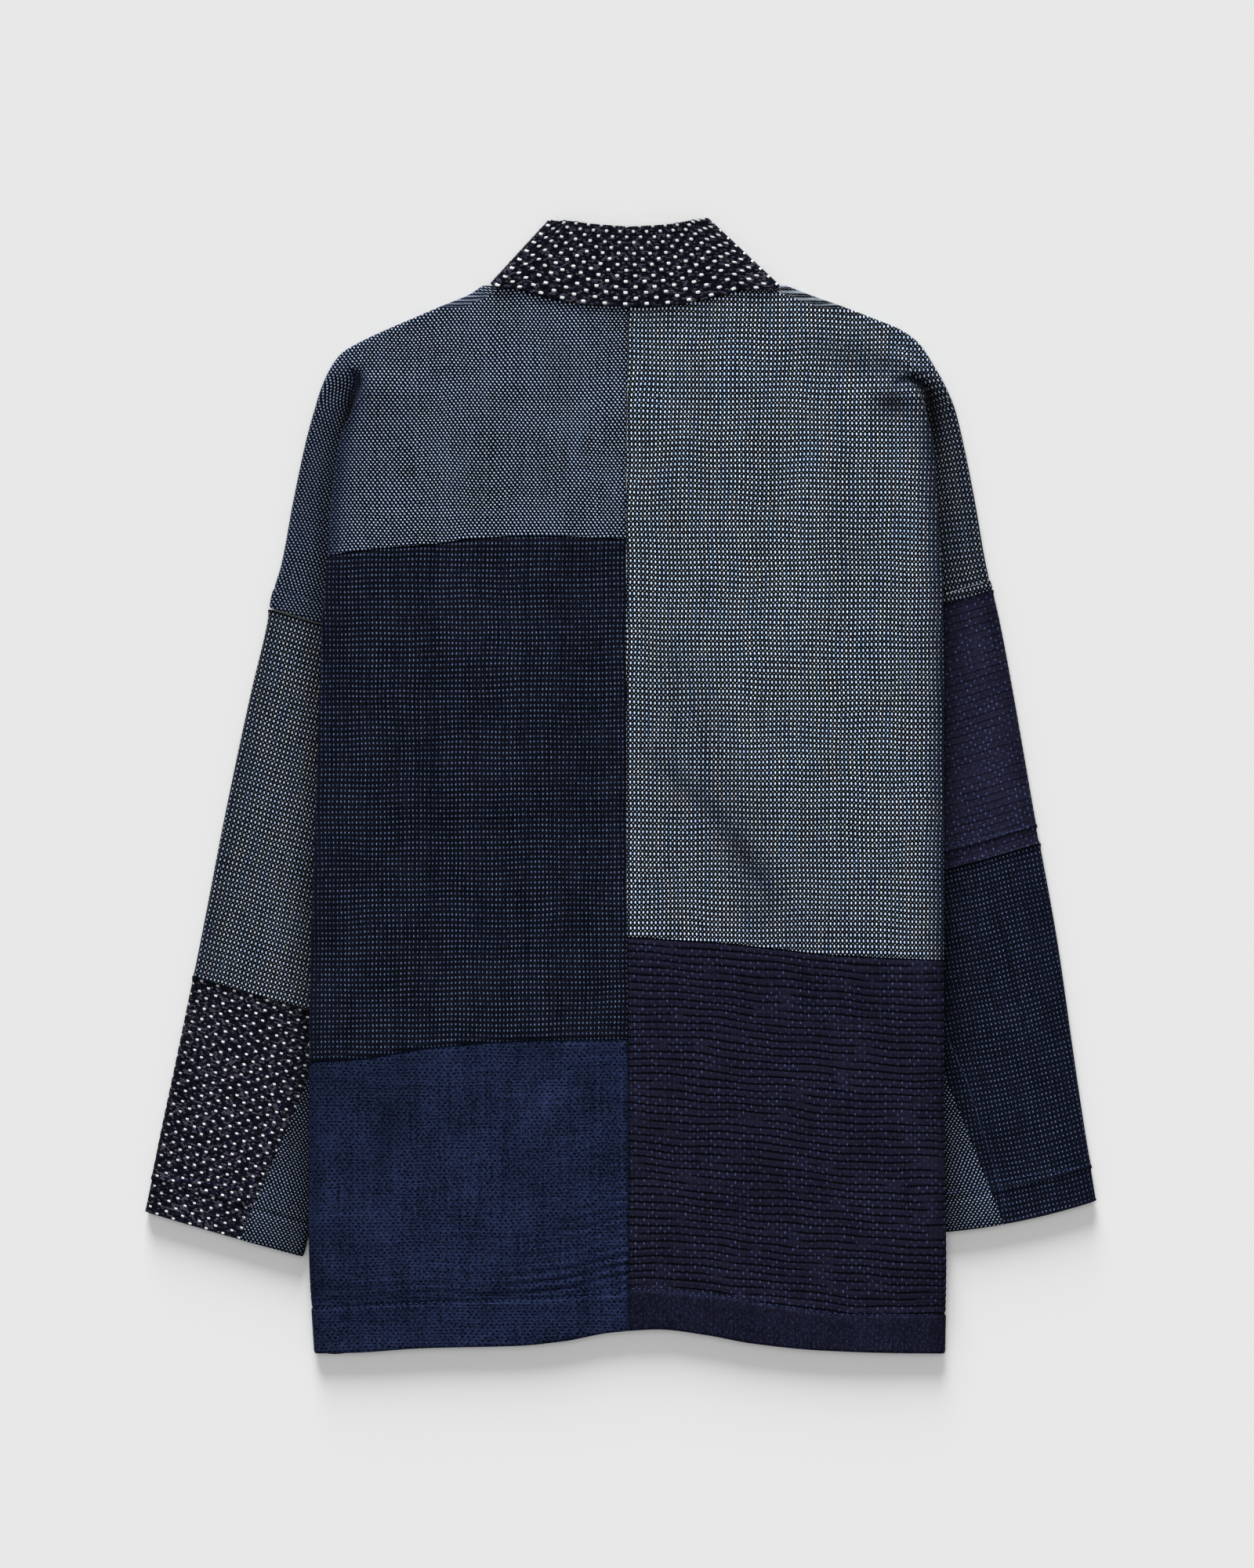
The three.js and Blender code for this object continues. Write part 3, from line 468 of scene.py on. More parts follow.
def sleeve_points(side, v, way):
    outer_x, outer_y, inner_x, inner_y, width = sleeve_ends(side, v)
    flat = width - 2 * SLEEVE_TURN
    half = 2 * QUARTER + flat
    over = way <= half
    run = np.where(over, way, 2 * half - way)
    far = (run - QUARTER - flat) / SLEEVE_TURN
    near = run < QUARTER
    past = run > QUARTER + flat
    inward = np.where(near, SLEEVE_TURN * (1 - np.cos(run / SLEEVE_TURN)), SLEEVE_TURN + run - QUARTER)
    inward = np.where(past, SLEEVE_TURN + flat + SLEEVE_TURN * np.sin(far), inward)
    rise = np.where(near, np.sin(run / SLEEVE_TURN), 1)
    rise = np.where(past, np.cos(far), rise)
    f = inward / width
    bow = side.cuff_bow * 4 * f * (1 - f) * v
    z = (SLEEVE_Z + FRONT_Z) / 2 + np.where(over, 1, -1) * rise * SLEEVE_TURN * UNIT
    return np.stack([lerp(inner_x, outer_x, f), lerp(inner_y, outer_y, f) + bow, z], -1)


def gusset_reach(side, v):
    return np.clip((v - side.gusset_top) / (1 - side.gusset_top), 0, 1) * side.gusset_wide


def gusset_gap(side, v):
    return lerp(HIDDEN_GAP, HALF_SEAM, smooth(8, 40, gusset_reach(side, v)))


def chain(*stretches):
    """Joins stretches (from, to, cells) of one line, each value an array down the rows."""
    out = []
    for start, end, cells in stretches:
        steps = np.linspace(0, 1, cells + 1)[0 if not out else 1:]
        out.append(start + (end - start) * steps[None, :])
    return np.concatenate(out, 1)


# Shares of the sleeve's length: the gap at a seam, the cuff's end and the gusset's hidden tip.
SLEEVE_SHRINK = HALF_SEAM / 767
CUFF_END = 1.0028
GUSSET_TIP = 0.028


def sleeve_rows(side, start_v, end_v, rows):
    end = end_v - SLEEVE_SHRINK if end_v < 1 else CUFF_END
    v = np.linspace(start_v + SLEEVE_SHRINK, end, rows + 1)[:, None]
    half = half_round(side, v)
    start = gusset_reach(side, v) + gusset_gap(side, v)
    way = chain(
        (start, start + QUARTER, 8),
        (start + QUARTER, half - QUARTER, 40),
        (half - QUARTER, half + QUARTER, 16),
        (half + QUARTER, 2 * half - start - QUARTER, 30),
        (2 * half - start - QUARTER, 2 * half - start, 8),
    )
    return sleeve_points(side, v, way), way, v


def gusset_rows(side, rows):
    v = np.linspace(side.gusset_top + GUSSET_TIP, CUFF_END, rows + 1)[:, None]
    round_way = 2 * half_round(side, v)
    reach = gusset_reach(side, v) - gusset_gap(side, v) * 0.5
    turn = np.minimum(QUARTER, reach * 0.6)
    way = chain((reach, turn, 24), (turn, -turn, 12), (-turn, -reach, 20))
    return sleeve_points(side, v, np.where(way < 0, round_way + way, way)), way, v


# Collar: rows across the band from its seam to its free edge.
def collar_line(seam, top, z, hump):
    g = np.linspace(0, 1, BAND_CELLS + 1)
    x = lerp(seam[0], top[0], g)
    y = lerp(seam[1], top[1], g)
    return np.stack([x, y, z + hump * BAND_HUMP * np.sin(math.pi * g)], -1)


def collar_half(side):
    turn = (COLLAR_Z - BAND_Z) / 2
    inset = turn / UNIT + side.fold_shift
    corner = [side.fold_seam[k] + side.fold_in[k] * inset - k * CORNER_LIFT for k in (0, 1)]
    rows = []
    for y in np.linspace(NECK_BASE_Y, NECK_Y, 60):
        x = read(side.neck, "x", y)
        f = abs(x - CENTRE_X) / abs(corner[0] - CENTRE_X)
        top = (read(side.top, "x", f, "f"), read(side.top, "y", f, "f"))
        rows.append(collar_line((x, y - COLLAR_GAP), top, COLLAR_Z, 1))
    end = (read(side.top, "x", 1, "f"), read(side.top, "y", 1, "f"))
    rows.append(collar_line((corner[0], corner[1] - COLLAR_GAP), end, COLLAR_Z, 1))
    for f in np.linspace(0, 1, 13)[1:]:
        back = side.fold_shift + turn / UNIT * (1 - math.sin(math.pi * f))
        seam = [side.fold_seam[k] + side.fold_in[k] * back for k in (0, 1)]
        top = [side.fold_top[k] + side.fold_in[k] * back for k in (0, 1)]
        z = (COLLAR_Z + BAND_Z) / 2 + turn * math.cos(math.pi * f)
        start = (seam[0], seam[1] - COLLAR_GAP - CORNER_LIFT)
        rows.append(collar_line(start, (top[0], top[1] - COLLAR_GAP), z, 1 - f))
    return rows + [band_line(side, *ys) for ys in zip(*BAND_STARTS.values())]


def band_line(side, seam_y, free_y):
    seam_x = read(side.band, "seam", seam_y) - side.out * BAND_GAP
    return collar_line((seam_x, seam_y), (read(side.band, "free", free_y), free_y), BAND_Z, 0)


def band_rows(side, hem_y):
    rows = [band_line(side, *(column[-1] + 2 * HALF_SEAM for column in BAND_STARTS.values()))]
    rows += [band_line(side, *ys) for ys in zip(*BAND_TURNS.values())]
    return rows + [band_line(side, y, y) for y in np.linspace(BAND_LEVEL_Y, hem_y, 80)]


def refine(rows, step):
    """Splits long gaps between rows so that no gap is over step millimetres."""
    out = [rows[0]]
    for a, b in zip(rows, rows[1:]):
        gap = np.linalg.norm(b - a, axis=1).max() * UNIT
        parts = max(1, round(gap / step))
        out += [lerp(a, b, k / parts) for k in range(1, parts + 1)]
    return np.stack(out)


# Making of the meshes.
def edge_ways(points):
    """Millimetres across and down the cloth from its first column and row."""
    across = np.linalg.norm(np.diff(points, axis=1), axis=2)
    down = np.linalg.norm(np.diff(points, axis=0), axis=2)
    across = np.concatenate([np.zeros((len(points), 1)), np.cumsum(across, 1)], 1)
    down = np.concatenate([np.zeros((1, points.shape[1])), np.cumsum(down, 0)], 0)
    return across / MM, down / MM


def corner_normals(points, quads):
    a, b, c, d = (points[quads[:, k]] for k in range(4))
    face = np.cross(c - a, d - b)
    face /= np.maximum(np.linalg.norm(face, axis=1, keepdims=True), 1e-12)
    total = np.zeros_like(points)
    for k in range(4):
        for axis in range(3):
            total[:, axis] += np.bincount(quads[:, k], face[:, axis], len(points))
    return total / np.maximum(np.linalg.norm(total, axis=1, keepdims=True), 1e-12)


def show(name, mesh, paint):
    mesh.materials.append(paint)
    thing = bpy.data.objects.new(name, mesh)
    bpy.context.scene.collection.objects.link(thing)
    return thing


def write_levels(mesh, key, levels_at):
    layer = mesh.attributes.new(key, "FLOAT", "POINT")
    layer.data.foreach_set("value", levels_at.astype(np.float32))


SHARP = math.radians(55)


def wall(name, grid, thick, paint, lay, relief=None, keep=None, flip=False, fade=1.0, shade=1.0, plain=0.0):
    """A closed thin wall round a grid of middle points, with the weave's own map in metres. At
    each point the tone level scales the colour, as the cloth's own tone and as painted shade that
    turns toward a dark colour below one; shade is painted shade in seams, grooves and creases, with
    rubbed pale lines along hems; and plain is 1 where ribbed cloth has no grooves."""
    m, n = grid.shape[:2]
    points = grid.reshape(-1, 3).copy()
    index = np.arange(m * n).reshape(m, n)
    quads = np.stack([index[:-1, :-1], index[1:, :-1], index[1:, 1:], index[:-1, 1:]], -1)
    quads = quads.reshape(-1, 4) if keep is None else quads[keep]
    if flip:
        quads = quads[:, ::-1]
    normals = corner_normals(points, quads)
    if relief is not None:
        points += normals * relief.reshape(-1, 1) * MM
        normals = corner_normals(points, quads)
    used = np.unique(quads)
    slot = np.full(m * n, -1)
    slot[used] = np.arange(len(used))
    total = len(used)
    half = normals[used] * thick / 2 * MM
    coords = np.concatenate([points[used] + half, points[used] - half])
    coords[:, 2] = np.maximum(coords[:, 2], 0)
    top = slot[quads]
    starts = top.reshape(-1)
    ends = np.roll(top, -1, axis=1).reshape(-1)
    rim = ~np.isin(starts * total + ends, ends * total + starts)
    p, q = starts[rim], ends[rim]
    faces = np.concatenate([top, top[:, ::-1] + total, np.stack([p, p + total, q + total, q], 1)])
    mesh = bpy.data.meshes.new(name)
    mesh.vertices.add(len(coords))
    mesh.vertices.foreach_set("co", coords.astype(np.float32).ravel())
    mesh.loops.add(faces.size)
    mesh.loops.foreach_set("vertex_index", faces.astype(np.int32).ravel())
    mesh.polygons.add(len(faces))
    mesh.polygons.foreach_set("loop_start", np.arange(0, faces.size, 4, dtype=np.int32))
    mesh.update(calc_edges=True)
    uv = np.concatenate([lay.reshape(-1, 2)[used]] * 2)[faces.ravel()] * MM
    layer = mesh.uv_layers.new(name="cloth")
    layer.data.foreach_set("uv", uv.astype(np.float32).ravel())
    for key, level in (("fade", fade), ("shade", shade), ("plain", plain)):
        write_levels(mesh, key, np.tile(np.broadcast_to(level, (m, n)).ravel()[used], 2))
    mesh.polygons.foreach_set("use_smooth", np.ones(len(faces), bool))
    mesh.set_sharp_from_angle(angle=SHARP)
    return show(name, mesh, paint)


def add_node(tree, kind, inputs=(), **settings):
    """A node of a material with its settings; each input is a value, a socket or a Field."""
    node = tree.nodes.new("ShaderNode" + kind)
    for key, value in settings.items():
        setattr(node, key, value)
    for key, value in dict(inputs).items():
        value = value.socket if isinstance(value, Field) else value
        if isinstance(value, bpy.types.NodeSocket):
            tree.links.new(value, node.inputs[key])
        else:
            node.inputs[key].default_value = value
    return node


class Field:
    """A number worked out in a material, so that sums on it read as plain sums."""

    def __init__(self, tree, socket):
        self.tree = tree
        self.socket = socket

    def work(self, kind, *others):
        node = add_node(self.tree, "Math", enumerate((self, *others)), operation=kind)
        return Field(self.tree, node.outputs[0])

    def step(self, low, high):
        """0 up to low, 1 from high, eased between."""
        ends = {"Value": self, "From Min": low, "From Max": high}
        node = add_node(self.tree, "MapRange", ends, interpolation_type="SMOOTHSTEP")
        return Field(self.tree, node.outputs["Result"])


SUMS = {
    "__add__": "ADD", "__sub__": "SUBTRACT", "__mul__": "MULTIPLY", "__truediv__": "DIVIDE",
    "floor": "FLOOR", "part": "FRACT", "size": "ABSOLUTE", "power": "POWER", "most": "MAXIMUM",
}
for sum_name, sum_kind in SUMS.items():
    setattr(Field, sum_name, lambda self, *others, kind=sum_kind: self.work(kind, *others))


def join(*fields):
    return add_node(fields[0].tree, "CombineXYZ", enumerate(fields)).outputs[0]


def chance(a, b, seed):
    """An even random number from 0 to 1 for each whole a and b."""
    node = add_node(a.tree, "TexWhiteNoise", {"Vector": join(a, b, seed)}, noise_dimensions="3D")
    return Field(a.tree, node.outputs["Value"])


def drift(u, v, seed, detail=2):
    """Soft noise from 0 to 1; u and v are already in its own steps."""
    inputs = {"Vector": join(u, v, seed), "Scale": 1, "Detail": detail}
    return Field(u.tree, add_node(u.tree, "TexNoise", inputs, noise_dimensions="3D").outputs["Fac"])


def tint(factor, dark, light):
    """A colour between two, each a socket or a tuple of screen levels from 0 to 255."""
    ends = [c if isinstance(c, bpy.types.NodeSocket) else (*map(to_linear, c), 1) for c in (dark, light)]
    return add_node(factor.tree, "Mix", {0: factor, 6: ends[0], 7: ends[1]}, data_type="RGBA").outputs[2]


BLACK = (0, 0, 0)
INDIGO = (14, 22, 44)
# Millimetres in a metre, how far the threads run before they wander the other way, in millimetres,
# and the surface that every cloth shares.
METRE = 1000
SWAY_RUN = 45
HEAVE_RUN = 38
BUMP_STRENGTH = 0.8
CLOTH_SURFACE = {
    "Roughness": 0.95,
    "Specular IOR Level": 0.04,
    "Sheen Weight": 0.012,
    "Sheen Roughness": 0.5,
}


def to_linear(level):
    level = level / 255
    return level / 12.92 if level <= 0.04045 else ((level + 0.055) / 1.055) ** 2.4


def cells(u, v, pitch, stagger=0.0):
    """Cell numbers and the place in the cell, in millimetres, of a grid of small shapes."""
    wide, high = pitch
    row = (v / high).floor()
    way = u / wide + (row / 2).part() * 2 * stagger
    x = (way.part() - 0.5) * wide
    y = ((v / high).part() - 0.5) * high
    return way.floor(), row, x, y


def spot(x, y, half_wide, half_high, soft=0.35, power=2.0):
    reach = (x / half_wide).size().power(power) + (y / half_high).size().power(power)
    return reach.power(1 / power).step(1 + soft, 1 - soft)


def start_cloth(name, tilt=0.0, waver=0.0):
    """A fresh material with the weave's own place in millimetres, u across and v along."""
    material = bpy.data.materials.new(name)
    material.use_nodes = True
    tree = material.node_tree
    tree.nodes.clear()
    uv = add_node(tree, "UVMap", uv_map="cloth")
    split = add_node(tree, "SeparateXYZ", {0: uv.outputs["UV"]})
    u = Field(tree, split.outputs[0]) * METRE
    v = Field(tree, split.outputs[1]) * METRE
    sway = (drift(u / SWAY_RUN, v / SWAY_RUN, 3.1, 0) - 0.5) * waver
    heave = (drift(u / HEAVE_RUN, v / HEAVE_RUN, 7.7, 0) - 0.5) * waver
    return material, u + sway, v + u * tilt + heave


def kept_level(tree, key):
    return Field(tree, add_node(tree, "Attribute", attribute_name=key).outputs["Fac"])


def scaled(tree, colour, level):
    return add_node(tree, "VectorMath", {0: colour, "Scale": level}, operation="SCALE").outputs["Vector"]


def end_cloth(material, colour, height, depth, shade_dye=INDIGO):
    """Ends a cloth's material: the colour is scaled by the tone level, takes the dark colour as
    painted shade where that level is below one, and is darkened by shade, which is painted shade too."""
    tree = material.node_tree
    fade, shade = kept_level(tree, "fade"), kept_level(tree, "shade")
    # Painted shade: the dark colour is added where the tone level is below one.
    kept = tint((fade * -1 + 1).most(0), BLACK, shade_dye)
    deep = add_node(tree, "VectorMath", {0: scaled(tree, colour, fade), 1: kept}, operation="ADD")
    bump = add_node(tree, "Bump", {"Strength": BUMP_STRENGTH, "Distance": depth * MM, "Height": height})
    colour = scaled(tree, deep.outputs["Vector"], shade)
    inputs = {"Base Color": colour, "Normal": bump.outputs["Normal"], **CLOTH_SURFACE}
    shader = add_node(tree, "BsdfPrincipled", inputs)
    add_node(tree, "OutputMaterial", {"Surface": shader.outputs["BSDF"]})
    return material


def wear(u, v):
    """Slow changes of depth of colour, with streaks along and across the threads."""
    cloud = drift(u / 26, v / 34, 1.3, 2)
    streak = drift(u / 1.9, v / 70, 5.2, 1)
    bar = drift(u / 60, v / 1.7, 9.4, 0)
    return cloud * 0.4 + streak * 0.4 + bar * 0.2


# Pitch of each weave across and along the cloth, in millimetres.
DOT_PITCH = (3.09, 2.09)
DASH_PITCH = (3.04, 4.0)
PEBBLE_PITCH = (4.26, 2.51)
GRAIN_PITCH = (3.08, 4.13)
RIB = 5.8
RIB_PITCH = (6.4, RIB / 2)
KNOB_WIDE, KNOB_HIGH = KNOB_PITCH = (13.1, 4.25)
LUMP_PITCH = (KNOB_WIDE / 6, KNOB_HIGH / 3)
HALF_STEP = 0.5


def dotted(name):
    low, high, white = (1, 3, 10), (62, 84, 126), (222, 234, 250)
    material, u, v = start_cloth(name, tilt=0.012, waver=4)
    column, row, x, y = cells(u, v, DOT_PITCH, HALF_STEP)
    wide, tall = DOT_PITCH
    fill = chance(column, row, 8.5)
    shift = (chance(column, row, 2.5) - 0.5) * 0.35
    dot = spot(x + shift, y, 0.6, 0.48, 0.2)
    slant = ((u / wide - v / (2 * tall) + 0.25).part() - 0.5).size().step(0.3, 0.08)
    base = wear(u, v)
    bright = (fill * 0.55 + 0.66) * (base * 1.3 + 0.42)
    ground = tint(slant * base.step(0.25, 0.8), low, high)
    return end_cloth(material, tint(dot * bright, ground, white), dot + base * 0.6, 0.3)


def dashed(name):
    low, high, pale, shade_dye = (3, 4, 10), (22, 24, 38), (106, 128, 166), (11, 15, 32)
    material, u, v = start_cloth(name, tilt=0.01, waver=3)
    column, row, x, y = cells(u, v, DASH_PITCH)
    fill = chance(column, row, 4.5)
    line = chance(column, row * 0, 6.5)
    bar = chance(column * 0, row, 7.5)
    dash = spot(x + (fill - 0.5) * 0.4, y, 0.5, 0.8, 0.2, 2)
    base = wear(u, v)
    bright = (fill * 0.8 + 0.35) * (line * 0.5 + 0.65) * (bar * 0.2 + 0.9) * (base * 1.6 + 0.15)
    speck = drift(u / 0.8, v / 0.8, 2.8, 0)
    ground = tint((speck * base * 2).step(0.2, 0.9), low, high)
    return end_cloth(material, tint(dash * bright, ground, pale), dash + speck * 0.4, 0.4, shade_dye)


def pebbled(name):
    low, high, hollow, shade_dye = (8, 12, 27), (41, 52, 86), (2, 4, 10), (7, 10, 22)
    material, u, v = start_cloth(name, waver=3)
    column, row, x, y = cells(u, v, PEBBLE_PITCH, HALF_STEP)
    fill = chance(column, row, 3.5)
    pin = spot(x + (fill - 0.5) * 1.0, y, 1.0, 0.7, 0.5) * (fill * 0.7 + 0.45)
    fleck = drift(u / 1.6, v / 1.2, 6.2, 1)
    base = wear(u, v)
    ground = tint((fleck + base * 0.8).step(0.6, 1.2), low, high)
    return end_cloth(material, tint(pin, ground, hollow), pin * -1 + fleck, 0.6, shade_dye)


def grained(name):
    low, high, shade_dye = (1, 3, 9), (17, 38, 78), (12, 18, 34)
    cool, warm = (214, 234, 255), (246, 252, 255)
    material, u, v = start_cloth(name, tilt=0.008, waver=4)
    column, row, x, y = cells(u, v, GRAIN_PITCH)
    wide, tall = GRAIN_PITCH
    fill = chance(column, row, 1.5)
    line = chance(column, row * 0, 3.5)
    grain = spot(x, y, 0.62, 1.1, 0.15, 1.7)
    small_column, small_row, sx, sy = cells(u + wide / 2, v + tall / 2, GRAIN_PITCH)
    small_fill = chance(small_column, small_row, 5.5)
    small = spot(sx, sy, 0.44, 0.44, 0.25)
    base = wear(u, v)
    lit = (base * 1.1 + 0.5) * (line * 0.24 + 0.88)
    bright = (grain * (fill * 0.3 + 0.85)).most(small * (small_fill * 0.6 + 0.2)) * lit
    weft = (y.size() * -1).step(-1.3, -0.3)
    ground = tint(weft * base.step(0.25, 0.8), low, high)
    light = tint(drift(u / 5, v / 30, 8.8, 1).step(0.3, 0.7), cool, warm)
    return end_cloth(material, tint(bright, ground, light), grain + small * 0.6 + base * 0.3, 0.35, shade_dye)


def ribbed(name, groove_depth):
    low, high, pale, shade_dye = (3, 3, 8), (34, 33, 52), (66, 86, 132), (7, 6, 14)
    material, u, v = start_cloth(name, waver=2)
    column, row, x, y = cells(u, v, RIB_PITCH, HALF_STEP)
    fill = chance(column, row, 2.2)
    dash = spot(x + (fill - 0.5) * 1.2, y, 0.42, 0.95, 0.3, 3)
    broken = drift(u / 23, v / 8, 3.6, 1).step(0.25, 0.5)
    plain = kept_level(material.node_tree, "plain")
    groove = ((v / RIB).part() - 0.5).size().step(0.28, 0.5) * broken * (plain * -1 + 1)
    base = wear(u, v)
    speck = drift(u / 1.2, v / 0.9, 6.2, 1)
    # Painted shade in the grooves between the ribs.
    shade = (base * 0.9 + speck) * (groove * -groove_depth + 1) * (plain * -0.22 + 1)
    ground = tint(shade.step(0.35, 1.3), low, high)
    streak = drift(u / 0.6, v / 2.2, 4.7, 1).step(0.5, 0.75) * plain * 0.22
    lit = (dash * fill.power(1.5) * (base * 2.0) * (plain * -0.7 + 1)).most(streak)
    return end_cloth(material, tint(lit, ground, pale), groove * -groove_depth + speck * 0.5, 0.6, shade_dye)


def knobbed(name):
    low, high, lump_grey, white, shade_dye = (4, 5, 9), (17, 18, 31), (82, 78, 92), (236, 246, 244), (9, 10, 20)
    material, u, v = start_cloth(name)
    column, row, x, y = cells(u, v, KNOB_PITCH, HALF_STEP)
    fill = chance(column, row, 1.1)
    dot = spot(x + (fill - 0.5) * 0.4, y, 1.22, 0.9, 0.15, 4)
    lump_column, lump_row, lx, ly = cells(u, v, LUMP_PITCH, HALF_STEP)
    kind = chance(lump_column, lump_row, 6.1)
    cloud = drift(u / 7, v / 5, 2.4, 1)
    fleck = (kind * (cloud * 0.9 + 0.5)).step(0.58, 0.9)
    lump = spot(lx, ly, 1.0, 0.62, 0.5)
    ground = tint(fleck * lump, tint(kind.step(0.0, 0.5), low, high), lump_grey)
    return end_cloth(material, tint(dot * (fill * 0.25 + 0.82), ground, white), lump * 0.8 + dot, 0.6, shade_dye)


# Each cloth's look and its slot in the record.
DOTTED = (dotted("dotted_cloth_look"), "dotted_cloth")
DASHED = (dashed("dashed_cloth_look"), "dashed_cloth")
PEBBLED = (pebbled("pebbled_cloth_look"), "pebbled_cloth")
GRAINED = (grained("grained_cloth_look"), "grained_cloth")
RIBBED = (ribbed("ribbed_cloth_look", 0.85), "ribbed_cloth")
RIBBED_SLEEVE = (ribbed("ribbed_sleeve_look", 0.3), "ribbed_cloth")
KNOBBED = (knobbed("knobbed_cloth_look"), "knobbed_cloth")


def knob_relief(across, down):
    """Raised white knots and the small lumps between them, in millimetres."""
    row = np.floor(down / KNOB_HIGH)
    way = across / KNOB_WIDE + np.mod(row, 2) * 0.5
    x = (way - np.floor(way) - 0.5) * KNOB_WIDE
    y = (down / KNOB_HIGH - row - 0.5) * KNOB_HIGH
    knot = np.exp(-((x / 1.6) ** 4) - (y / 1.2) ** 4)
    lump = np.sin(across * 2 * math.pi / (KNOB_WIDE / 4)) * np.sin(down * 2 * math.pi / KNOB_HIGH)
    return 0.45 * knot + 0.2 * lump


def rib_relief(along, x, y):
    """Level ribs of the ribbed cloth, which fade in and out."""
    breaks = 0.55 + 0.45 * np.abs(np.sin(x / 37 + 2 * np.sin(y / 29)))
    return -0.26 * np.cos(along * 2 * math.pi / RIB) * breaks


def rib_sway(x, y):
    """How far the ribs wave along the cloth, in millimetres."""
    return 0.9 * np.sin(x / 31 + 1.8 * np.sin(y / 44)) + 0.35 * np.sin(x / 11 + 2 * np.sin(y / 23))


def bell(distance, reach):
    return np.exp(-((distance / reach) ** 2))


def waves(way, seed):
    """Uneven ripples along a line of stitches, from minus one to one."""
    return (np.sin(way / 2.1 + seed) + np.sin(way / 3.4 + 2 * seed) + np.sin(way / 6.3 + 3 * seed)) / 3


# Seams: how the cloth on each side of one dips, and how deep and how wide, in millimetres.
OVER = (0.3, 1.2)
UNDER = (1.0, 2.6)
CENTRE_OVER = (0.35, 1.2)
CENTRE_UNDER = (0.9, 2.4)
# Depth of the turned cloth at the cuffs, the armholes and the right elbow, in millimetres.
CUFF_DEPTH = 26
LEFT_ARM_DEPTH = 15
RIGHT_ARM_DEPTH = 8.4
ELBOW_DEPTH = 13
# Shade in a seam: how dark and how wide, in millimetres.
CENTRE_SHADE = (0.45, 1.5)
TOP_SHADE = (0.7, 1.8)
SLEEVE_SHADE = (0.7, 1.7)
EDGE_WIDE = 1.2
SMALL_PUCKER = 0.12
CUFF_PUCKER = 0.2
PUCKER_REACH = 7
HEM_PUCKER_REACH = 8


def seam(distance, kind, way, seed):
    """Relief beside a seam, with small puckers that die out away from it."""
    depth, reach = kind
    return -depth * bell(distance, reach) + SMALL_PUCKER * waves(way, seed) * bell(distance, PUCKER_REACH)


def seam_shade(distance, kind):
    share, reach = kind
    return share * bell(distance, reach)


def turned(from_edge, way, depth, seed, pucker=0.35):
    """A turned hem: double cloth below its stitches, a groove along them and puckers round it."""
    double = 0.5 * (1 - smooth(depth - 2, depth + 0.5, from_edge))
    groove = -0.75 * bell(from_edge - depth, 1.3) - 0.5 * bell(from_edge, 1.1)
    return double + groove + pucker * waves(way, seed) * bell(from_edge - depth, HEM_PUCKER_REACH)


def hem_wear_and_shade(from_edge, way, depth, seed):
    """Cloth rubbed pale along a hem's edge and above its stitches, with painted shade in the groove and at
    the very edge.
    """
    rubbed = bell(from_edge - depth - 2.4, 1.4) + 0.6 * bell(from_edge - depth + 2, 1.3)
    pale = 0.8 * rubbed * (0.8 + 0.5 * waves(way, seed))
    return 1 + pale - 0.75 * bell(from_edge - depth, 1.1) - 0.3 * bell(from_edge, 1.4)


def arm_wear_and_shade(up, arm):
    """Pale edge, and painted shade in a dark line, where a shoulder piece is sewn down over its sleeve."""
    return 1 + 0.5 * bell(up - 1, 1) + 0.3 * bell(up - arm - 1.5, 1) - 0.5 * bell(up - arm, 0.9)


things = {}


def add_piece(name, grid, cloth, lay, relief=None, keep=None, flip=False, thick=CLOTH, **levels_at):
    paint, slot = cloth
    thing = wall(name + "_cloth", grid, thick, paint, lay, relief, keep, flip, **levels_at)
    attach(thing, "root")
    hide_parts(name)
    things[name] = thing


def column_parts(blocks):
    return np.concatenate([[part] * len(steps) for part, steps in blocks])


def sleeve_lay(side, blocks, plan, across, lay):
    """Turns the weave of a shoulder piece to run along the sleeve beyond its pleat."""
    parts = column_parts(blocks)
    on_sleeve = np.isin(parts, ["tuck", "sleeve", "outer", "lower", "front"])
    rim = int(np.flatnonzero(parts == "sleeve")[-1])
    y = plan[..., 1]
    start = int(np.argmin(np.abs(y[:, 0] - side.crease_top)))
    settled = smooth(side.crease_top - 6, side.crease_top + 60, y)
    inward = np.maximum((plan[:, rim:rim + 1, 0] - plan[..., 0]) * side.out, 0)
    lean = side.out * (outer_at(side, y + 20) - outer_at(side, y - 20)) / 40
    u = across + settled * (across[start, rim] - across[:, rim:rim + 1])
    v = (PLAN_MIDDLE_Y - (y - settled * inward * lean)) * UNIT
    turned_lay = np.stack([u, v], -1)
    return np.where(on_sleeve[None, :, None], turned_lay, lay), on_sleeve


# Painted shade along an edge: its reach in plan units and its share, and how far above and below
# the head of a side crease it sets in.
OUTER_REACH = 22
EDGE_REACH = 17
EDGE_SHARE = 0.8
FRONT_REACH = 12
FRONT_SHARE = 0.4
SLEEVE_REACH = 26
SLEEVE_SHARE = 0.62
LOW_SLEEVE_SHARE = 0.6
OUTER_SHARE = 0.25
EDGE_SHADE_FROM = (-4, 26)
DIM_FROM = (-8, 62)


def below_crease(side, y, reach):
    return smooth(side.crease_top + reach[0], side.crease_top + reach[1], y)


def painted_edge_shade(side, plan, reach, share):
    """Painted shade near the body's edge, from the head of a side crease down."""
    x, y = plan[..., 0], plan[..., 1]
    return 1 - share * below_crease(side, y, EDGE_SHADE_FROM) * bell(x - edge_at(side, y), reach)


def rounded(side, plan, share):
    """Painted shade toward a sleeve's outer fold."""
    return 1 - share * bell(plan[..., 0] - outer_at(side, plan[..., 1]), OUTER_REACH)


